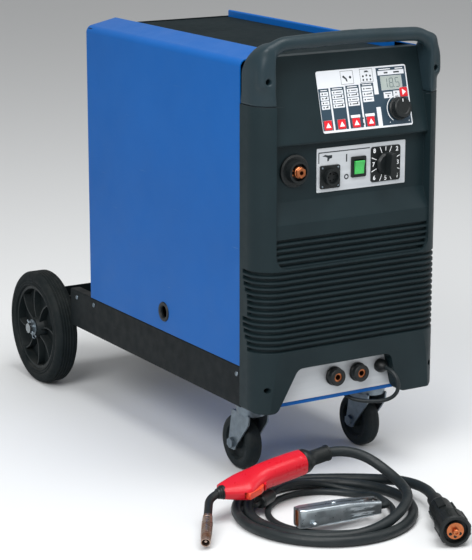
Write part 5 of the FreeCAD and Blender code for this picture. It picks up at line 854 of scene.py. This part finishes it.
plate = {"y": -50.5, "rects": ((-64.0, 573.0, -62.2, 592.4), (-64.0, 590.6, 42.0, 592.4), (-7.4, 571.5, -4.8, 585.0)),
         "symbol": [(-56, 585), (-50, 587.5), (-44, 586), (-36, 586), (-36, 581), (-41, 580), (-43, 576), (-46, 576),
                    (-45.5, 582), (-50, 584)], "offMark": (-6.1, 545.5)}
platePlace = basis(xAxis, zAxis, toFront, machinePoint(0, plate["y"], 0))
plateMarks = [rectOutline(rect) for rect in plate["rects"]] + [plate["symbol"]]
ringOuter, ringInner = circle(4.8, plate["offMark"], 28), circle(2.5, plate["offMark"], 28)
for i in range(28):
    j = (i + 1) % 28
    plateMarks.append([ringOuter[i], ringOuter[j], ringInner[j], ringInner[i]])
plateInk = printed("plateMarks", "machine", "inkPrint", plateMarks, -0.01, 0.06, platePlace)

dial = {"centre": (75.0, 561.0), "sheet": 1.2, "near": 20.5, "half": 29.6, "line": 0.65, "numbers": "32187654",
        "numberSize": 10.8, "reach": (25.6, 33.5)}
dialX, dialZ = dial["centre"]
dialMarks = []
for i in range(8):
    turn = math.radians(22.5 + 45 * i)
    c, s = math.cos(turn), math.sin(turn)
    far, near, line = dial["half"] / max(abs(c), abs(s)), dial["near"], dial["line"]
    dialMarks.append([(dialX + reach * c - side * line * s, dialZ + reach * s + side * line * c)
                      for reach, side in ((near, 1), (near, -1), (far, -1), (far, 1))])
dialInk = printed("dialLines", "machine", "whiteInk", dialMarks, dial["sheet"] - 0.01, dial["sheet"] + 0.06, platePlace)


def numberMesh(text, size, centre, z, place):
    curve = bpy.data.curves.new("number" + text, "FONT")
    curve.body = text
    curve.size = size / 1000
    curve.extrude = 0.00004
    curve.offset = 0.00022  # a bolder stroke
    curve.align_x = "CENTER"
    curve.align_y = "CENTER"
    mesh = evaluatedMesh(inScene("number" + text, curve))
    mesh.transform(place @ shift(*centre, z))
    return mesh


numberParts = []
for i, label in enumerate(dial["numbers"]):
    turn = math.radians(45 * i)
    reach = dial["reach"][i % 2]
    centre = (dialX + reach * math.cos(turn), dialZ + reach * math.sin(turn))
    numberParts.append(meshParts(numberMesh(label, dial["numberSize"], centre, dial["sheet"] + 0.03, platePlace)))
numberPiece = newPiece("dialNumbers", "machine", "whiteInk", *gather(numberParts), smoothAngle=20)
selectorMark = printed("selectorMark", "selector_knob", "whiteInk", [roundedRect(1.6, 9.0, 0.7, (dialX, dialZ + 13.5))],
                       27.1, 27.35, platePlace)

# brass hexagon with a bevelled face and a six-sided bore, and two pilot pins beside it
socket = {"place": (-113.0, -49.0, 566.0), "flat": 8.4 * 1.1547, "bore": 4.0, "pins": ((-13.2, 4.0), (-13.2, -4.0)),
          "rings": ((18.0, 1.0), (24.4, 1.0), (25.2, 0.93)),
          "pin": ((0, 8), (1.3, 8), (1.3, 18.2), (1.0, 18.6), (0, 18.6))}
socketPlace = basis(xAxis, zAxis, toFront, machinePoint(*socket["place"]))
hexRings = [(z, circle(socket["flat"] * scale, steps=6, start=30)) for z, scale in socket["rings"]]
hexRings += [(z, circle(socket["bore"], steps=6, start=30)) for z in (25.2, 18.0)]
hexVertices = [socketPlace @ mm(x, y, z) for z, ring in hexRings for x, y in ring]
hexFaces = [(k * 6 + i, k * 6 + (i + 1) % 6, (k + 1) % 5 * 6 + (i + 1) % 6, (k + 1) % 5 * 6 + i)
            for k in range(5) for i in range(6)]
socketHex = newPiece("torchSocketHex", "machine", "tarnishedBrass", hexVertices, hexFaces, 25)
pinParts = [lathe(socket["pin"], socketPlace @ shift(x, y, 0), 20) for x, y in socket["pins"]]
socketPins = newPiece("torchSocketPins", "machine", "tarnishedBrass", *gather(pinParts))
print("plate and dial marked")


# handle: the moulding flows from bar to pillar, so its joins are rounded here

handle = {"voxel": 1.9, "evenRounds": 14, "joinRounds": 60, "pocket": (171, 722), "pocketKeep": 8, "pocketFade": 8,
          "joinBelow": 34, "joinFade": 12}


def addSmooth(shape, rounds, group=""):
    rounding = shape.modifiers.new("soft", "SMOOTH")
    rounding.factor = 0.5
    rounding.iterations = rounds
    rounding.vertex_group = group


handleShape = inScene("handleShape", cleanMesh(nodes["handle"].data.copy(), 1e-6))
voxels = handleShape.modifiers.new("even", "REMESH")
voxels.mode = "VOXEL"
voxels.voxel_size = handle["voxel"] / 1000
addSmooth(handleShape, handle["evenRounds"])
evenMesh = evaluatedMesh(handleShape)
joinShape = inScene("joinShape", evenMesh)
join = joinShape.vertex_groups.new(name="join")
pockets = [machinePoint(side * handle["pocket"][0], 0, handle["pocket"][1]) for side in (-1, 1)]
lowest = pockets[0].z - handle["joinBelow"] / 1000
for vertex in evenMesh.vertices:
    away = min(math.hypot(vertex.co.x - p.x, vertex.co.z - p.z) for p in pockets)
    clear = (away * 1000 - handle["pocketKeep"]) / handle["pocketFade"]
    above = (vertex.co.z - lowest) * 1000 / handle["joinFade"]
    share = min(max(clear, 0.0), 1.0) * min(max(above, 0.0), 1.0)
    if share > 0:
        join.add([vertex.index], share, "REPLACE")
addSmooth(joinShape, handle["joinRounds"], "join")
softMesh = evaluatedMesh(joinShape)
softMesh.materials.clear()
handlePiece = finishMesh("carryHandle", softMesh, "machine", "handleAbs", 60, recalc=False)
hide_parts("handle")

# thin dark line where the handle's cap meets each pillar
seam = {"straight": 145, "back": -25, "radius": 45.12, "z": (679.5, 680.1), "inside": 0.997}
seamParts = []
for side in (-1, 1):
    path = [(side * 146, -70.12)]
    for a in range(0, 91, 6):
        turn = math.radians(a)
        path.append((side * (seam["straight"] + seam["radius"] * math.sin(turn)),
                     seam["back"] - seam["radius"] * math.cos(turn)))
    path.append((side * 190.12, -1))
    for start, end in zip(path, path[1:]):
        inner = [(x * seam["inside"], y * seam["inside"]) for x, y in (end, start)]
        seamParts.append(prismParts([start, end] + inner, *seam["z"], Matrix.Translation(machinePoint(0, 0, 0))))
seamPiece = newPiece("pillarSeams", "machine", "inkPrint", *gather(seamParts))
print("handle rounded")


# screws, washers, pins and hinges

screwProfile = [(0, 0), (4.4, 0), (4.5, 0.4), (4.3, 1.2), (3.6, 2.0), (2.4, 2.6), (1.4, 2.8), (1.2, 2.0), (0, 2.0)]
screwParts = [lathe(screwProfile, Matrix.Identity(4), 32)]
for turn in (0, 90):
    screwParts.append(prismParts(rectOutline((-2.6, -0.4, 2.6, 0.4)), 2.35, 2.62,
                                 Matrix.Rotation(math.radians(turn), 4, "Z")))
screw = inScene("screwHead", newMesh("screwHead", *gather(screwParts)))
screwPlaces = []
for side in (-1, 1):
    screwPlaces += [(machinePoint(side * 190, y, z), (side, 0, 0)) for y, z in ((9, 206), (548, 209), (620, 209))]
    screwPlaces += [(machinePoint(side * 171, -26, z), toFront) for z in (722, 190)]
screwPlaces += [(machinePoint(x, 560, z), (0, 1, 0)) for x in (-110, 110) for z in (240, 480, 700)]
screws = grow("caseScrews", placesNodes, {"Part": screw, "Size": 1.0, "Turn Seed": 5}, "machine", "zincPlate",
              points=screwPlaces)
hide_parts("fasteners")
smallPlaces = [(machinePoint(-41 + sx * 16, -53.5, 549 + sz * 16), toFront) for sx in (-1, 1) for sz in (-1, 1)]
smallScrews = grow("socketScrews", placesNodes, {"Part": screw, "Size": 0.42, "Turn Seed": 9}, "machine", "zincPlate",
                   points=smallPlaces)
bpy.data.objects.remove(screw)

axle = {"y": 773, "z": 115, "washer": 215, "pin": (221, 761, 103), "eye": 3.5,
        "washerProfile": ((10.1, 0), (16.6, 0), (17.0, 0.4), (17.0, 2.1), (16.6, 2.5), (10.1, 2.5), (10.1, 0)),
        "pinProfile": ((0, -0.5), (1.8, 0), (1.8, 36), (0, 36.5))}
hinge = {"x": 194.5, "y": 500, "heights": (480.0, 670.0), "half": 23, "knuckle": 11.5, "radius": 4.0, "pin": 2.0}
hardware = []
for side in (-1, 1):
    washerPlace = axes(machinePoint(side * axle["washer"], axle["y"], axle["z"]), (side, 0, 0))
    hardware.append(lathe(axle["washerProfile"], washerPlace, 48))
    pinX, pinY, pinZ = axle["pin"]
    pinPlace = axes(machinePoint(side * pinX, pinY, pinZ), (0, 1, 1), (1, 0, 0))
    hardware.append(lathe(axle["pinProfile"], pinPlace, 16))
    turns = [2 * math.pi * a / 10 for a in range(11)]
    eye = [pinPlace @ mm(0, axle["eye"] * math.sin(t), axle["eye"] * math.cos(t) - 5) for t in turns]
    hardware.append(sweptTube(eye, 1.0, 8))
flat = Matrix.Translation(machinePoint(0, 0, 0))
for z in hinge["heights"]:
    low, high, pin, radius = z - hinge["half"], z + hinge["half"], hinge["pin"], hinge["radius"]
    pinPlace = axes(machinePoint(hinge["x"], hinge["y"], low), zAxis, (0, 1, 0))
    hardware.append(lathe([(0, 0), (pin, 0), (pin, high - low), (0, high - low)], pinPlace, 24))
    for z0, z1 in ((low, low + hinge["knuckle"]), (high - hinge["knuckle"], high)):
        barrel = axes(machinePoint(hinge["x"], hinge["y"], z0), zAxis, (0, 1, 0))
        tall = z1 - z0
        hardware.append(lathe([(0, 0), (radius - 0.3, 0), (radius, 0.3), (radius, tall - 0.3), (radius - 0.3, tall),
                               (0, tall)], barrel, 28))
        hardware.append(prismParts(rectOutline((190, 502.5, 194.5, 504.5)), z0, z1, flat))
        hardware.append(prismParts(rectOutline((190, 503, 191.5, 524)), z0, z1, flat))
hardwarePiece = newPiece("axlePinsAndHinges", "machine", "zincPlate", *gather(hardware))
print("hardware placed")


# wheels: outlines are (in from the outer radius or out from the rim, in from the side)

tyre = {"radius": 115.0, "rim": 86.0, "half": 23.0, "grooves": 5, "shoulder": 8, "grooveDepth": 1.6,
        "wall": ((0, 4.0), (0.8, 1.2), (2.6, 0), (4.6, 0), (5.4, 0.9), (6.2, 0.9), (7.0, 0), (9.4, 0), (10.2, 0.9),
                 (11.0, 0.9), (11.8, 0)),
        "edge": ((10, 0.1), (6.5, 0.9), (3.4, 2.8), (1.3, 5.4), (0.2, 8.0))}
castor = {"x": 128, "y": 93, "z": 50, "radius": 50.0, "band": [(39.0, 14.4), (40.0, 15.0), (44.4, 14.2), (46.8, 12.6),
                                                              (48.6, 10.2), (49.6, 7.0), (50.0, 3.0)]}


def mirrored(profile):
    return profile + [(r, -z) for r, z in profile[::-1]]


def tyreProfile():
    half, radius, rim = tyre["half"], tyre["radius"], tyre["rim"]
    wall = [(rim + out, half - back) for out, back in tyre["wall"]]
    wall += [(radius - down, half - back) for down, back in tyre["edge"]]
    tread = []
    span = 2 * (half - tyre["shoulder"]) / tyre["grooves"]
    deep = radius - tyre["grooveDepth"]
    for i in range(tyre["grooves"]):
        z = half - tyre["shoulder"] - span * i
        tread += [(radius, z - 0.4), (radius, z - span * 0.5), (radius - 0.3, z - span * 0.56), (deep, z - span * 0.64),
                  (deep, z - span * 0.9), (radius - 0.3, z - span * 0.97)]
    return wall + tread + [(r, -z) for r, z in wall[::-1]] + [wall[0]]


for side, name in ((-1, "left"), (1, "right")):
    wheelPlace = axes(machinePoint(side * 191, axle["y"], axle["z"]), (side, 0, 0))
    tyrePiece = newPiece("rearTyre" + name.capitalize(), "rear_wheel_" + name, "tyreRubber",
                         *lathe(tyreProfile(), wheelPlace, 128), 50)
    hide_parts("rear_tyre_" + name)
castorProfile = [(min(r, castor["radius"]), z) for r, z in smoothProfile(mirrored(castor["band"]), 3)]
castorProfile += [(38.8, -13.5), (38.8, 13.5), castorProfile[0]]
for side, name in ((-1, "left"), (1, "right")):
    castorPlace = axes(machinePoint(side * castor["x"], castor["y"], castor["z"]), xAxis)
    castorTyre = newPiece("castorTyre" + name.capitalize(), "castor_wheel_" + name, "castorRubber",
                          *lathe(castorProfile, castorPlace, 96), 50)
print("tyres turned")


# earth clamp: two pressed channels; its tables are (along the clamp, value)

clampPlace = basis(clampForward, zAxis, clampAcross, clampTail)
clamp = {"start": 2, "end": 150, "rows": 75, "half": 15.0, "sheet": 1.3, "corner": 3.2, "pivot": 84.0, "rib": 1.1,
         "back": ((2, 15.7), (45, 14.3), (93, 15.0), (139, 15.0), (150, 12.2)),
         "inner": ((2, 9.0), (88, 1.5), (150, 1.5)), "dish": 0.9,
         "ribHeight": ((2, 0.0), (10, 0.0), (20, 1.0), (52, 1.0), (62, 0.0))}


def channelRing(x, side):
    back, inner = along(clamp["back"], x), along(clamp["inner"], x)
    high = min(9.3 + (x + 5) / 72.5 * 6.2, clamp["half"])
    corner = clamp["corner"]
    ring = [(high, inner), (high, (inner + back - corner) / 2)]
    for a in (0.0, 0.4, 0.8, 1.2, 1.5708):
        ring.append((high - corner + corner * math.cos(a), back - corner + corner * math.sin(a)))
    wing = ring[:]
    for k in range(1, 18):
        y = (high - corner) * (1 - k / 9)
        lift = clamp["rib"] * math.exp(-((abs(y) - 4.6) / 1.5) ** 2) * along(clamp["ribHeight"], x)
        dish = clamp["dish"] * math.exp(-((x - 112) / 9) ** 2 - (y / 8) ** 2)
        ring.append((y, back + lift - dish))
    ring += [(-y, z) for y, z in reversed(wing)]
    return [clampPlace @ mm(x, y, side * z) for y, z in ring]


def clampHalf(side, name):
    step = (clamp["end"] - clamp["start"]) / (clamp["rows"] - 1)
    rows = [channelRing(clamp["start"] + step * k, side) for k in range(clamp["rows"])]
    mesh = newMesh(name, [v for row in rows for v in row], gridFaces(len(rows), len(rows[0]), wrap=False))
    shell = inScene(name + "Shell", mesh)
    sheet = shell.modifiers.new("sheet", "SOLIDIFY")
    sheet.thickness = clamp["sheet"] / 1000
    sheet.offset = side
    sheet.use_even_offset = True
    jaw = prismParts(rectOutline((147, -14.6, 150.2, 14.6)), *sorted((side * 1.5, side * 12.0)), clampPlace)
    return [meshParts(evaluatedMesh(shell)), jaw]


# pivot pin across the wings, a screw with its hexagon for the lead, and two rivets
pivotPlace = clampPlace @ shift(clamp["pivot"], 0, 0) @ Matrix.Rotation(math.radians(-90), 4, "X")
pivotProfile = [(0, -19), (3.6, -19), (4.9, -18), (5.0, -16.4), (2.5, -16.1)]
pivotProfile += [(r, -z) for r, z in pivotProfile[::-1]]
frontParts = clampHalf(-1, "clampFront") + [lathe(pivotProfile, pivotPlace, 32)]
boltPlace = clampPlace @ shift(128, -7.5, -27)
thread = [(0, 0)]
for k in range(11):
    thread += [(2.6, 0.2 + k), (3.0, 0.55 + k), (2.6, 0.95 + k)]
frontParts.append(lathe(thread + [(3.0, 11.8), (0, 11.8)], boltPlace, 28))
frontParts.append(prismParts(circle(5.77, steps=6), 7.2, 11.8, boltPlace))
frontParts.append(lathe([(0, 11.4), (7.2, 11.4), (7.2, 12.2), (0, 12.2)], boltPlace, 32))
for x in (100.0, 136.0):
    rivet = clampPlace @ shift(x, 8.8, -14.8) @ Matrix.Rotation(math.pi, 4, "X")
    frontParts.append(lathe([(0, -0.5), (3.0, -0.5), (3.0, 0.3), (2.3, 1.1), (1.0, 1.5), (0, 1.6)], rivet, 24))
frontPiece = newPiece("clampFront", "leads", "galvanisedClamp", *gather(frontParts))
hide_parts("clamp_front")
backPiece = newPiece("clampBack", "clamp_back", "galvanisedClamp", *gather(clampHalf(1, "clampBack")))
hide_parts("clamp_back")
crimp = newPiece("earthCrimp", "leads", "copperStrip",
                 *lathe([(5.7, 3), (6.9, 3), (7.0, 3.6), (7.0, 9.4), (6.9, 10), (5.7, 10), (5.7, 3)],
                        axes(earthStart, clampForward), 32))
coil = {"radius": 6.6, "length": 15.6, "points": 84, "perTurn": 14, "wire": 1.0}
springLine = []
for k in range(coil["points"]):
    turn = 2 * math.pi * k / coil["perTurn"]
    rise = coil["length"] * (k / (coil["points"] - 1) - 0.5)
    springLine.append(pivotPlace @ mm(coil["radius"] * math.cos(turn), coil["radius"] * math.sin(turn), rise))
spring = newPiece("clampSpring", "leads", "zincPlate", *sweptTube(springLine, coil["wire"], 10))
for side, name, body in ((-1, "Front", "leads"), (1, "Back", "clamp_back")):
    low, high = sorted((side * 1.35, side * 3.9))
    strip = newPiece("clampCopper" + name, body, "copperStrip",
                     *prismParts(rectOutline((144.8, -12.6, 151.5, 12.6)), low, high, clampPlace))

# plug face: its direction and place are metres in the scene, its outlines run along the plug
plug = {"out": (-0.4021, -0.9156, 0), "place": (0.1085, -0.5898, 0.0276), "insertRing": 9.6, "inserts": (210, 270, 330),
        "face": ((5.6, 152.9), (13.6, 152.9), (14.1, 153.15), (13.6, 153.25), (5.6, 153.25), (5.6, 152.9)),
        "nose": ((4.6, 152), (5.3, 152), (5.3, 161.9), (4.7, 162.6), (2.6, 162.6), (2.4, 160), (0, 160)),
        "insert": ((0, 153.2), (2.7, 153.2), (2.7, 153.36), (0, 153.36))}
plugPlace = axes(Vector(plug["place"]), plug["out"])
contactParts = [lathe(plug["face"], plugPlace, 48), lathe(plug["nose"], plugPlace, 32)]
plugFacePiece = newPiece("plugContact", "leads", "copperStrip", *gather(contactParts))
# three thin black discs laid on the uncut copper face: painted shade standing for the plug's three holes
insertParts = [lathe(plug["insert"], plugPlace @ shift(x, y, 0), 24)
               for x, y in arc(plug["insertRing"], (0, 0), plug["inserts"])]
insertPiece = newPiece("plugInserts", "leads", "blackNylon", *gather(insertParts))

# wound wire: one ridge for each turn of the outer layer, as (share of the turn, radius)
spool = {"place": (-132.0, 372.0, 572.0), "start": 5.0, "wide": 90.0, "turns": 40, "core": 60,
         "ridge": ((0.05, 127.4), (0.3, 128.1), (0.5, 128.25), (0.7, 128.1), (0.95, 127.4))}
pitch = spool["wide"] / spool["turns"]
ridges = [(r, spool["start"] + pitch * (i + share)) for i in range(spool["turns"]) for share, r in spool["ridge"]]
innerEdge = (spool["core"], spool["start"])
spoolProfile = [innerEdge] + ridges + [(spool["core"], spool["start"] + spool["wide"]), innerEdge]
spoolPlace = axes(machinePoint(*spool["place"]), xAxis)
wound = newPiece("woundWire", "wire_spool", "coppered", *lathe(spoolProfile, spoolPlace, 96))
print("clamp, plug and wire done")


# floor and light

floorSettings = {"colour": "#D9DBDC", "roughness": 0.85, "half": 30, "below": -0.0006}
floorMaterial = bpy.data.materials.new("paleFloor")
floorMaterial.use_nodes = True
floorShader = floorMaterial.node_tree.nodes["Principled BSDF"]
floorShader.inputs["Base Color"].default_value = linear(floorSettings["colour"])
floorShader.inputs["Roughness"].default_value = floorSettings["roughness"]
half = floorSettings["half"]
floorCorners = [(x, y, floorSettings["below"]) for x, y in rectOutline((-half, -half, half, half))]
floor = inScene("studioFloor", newMesh("studioFloor", floorCorners, [(0, 1, 2, 3)]))
floor.data.materials.append(floorMaterial)

# lights are (place, size, watts)
lights = {"key": ((-3.2, -2.6, 3.4), 2.2, 176.0), "fill": ((3.4, -2.2, 2.4), 2.6, 32.0),
          "top": ((0.1, -1.3, 4.0), 2.6, 124.0)}
lightTarget = Vector((0, -0.1, 0.4))
worldStrength = 0.42
world = bpy.data.worlds.new("studioWorld")
bpy.context.scene.world = world
world.use_nodes = True
background = world.node_tree.nodes["Background"]
background.inputs["Color"].default_value = (1.0, 1.0, 1.0, 1.0)
background.inputs["Strength"].default_value = worldStrength
for name, (place, size, power) in lights.items():
    lamp = bpy.data.lights.new(name + "Light", "AREA")
    lamp.size = size
    lamp.energy = power
    holder = inScene(name + "Light", lamp)
    holder.location = place
    holder.rotation_euler = (lightTarget - Vector(place)).to_track_quat("-Z", "Y").to_euler()
bpy.context.scene.view_settings.view_transform = "Standard"
print("light set")
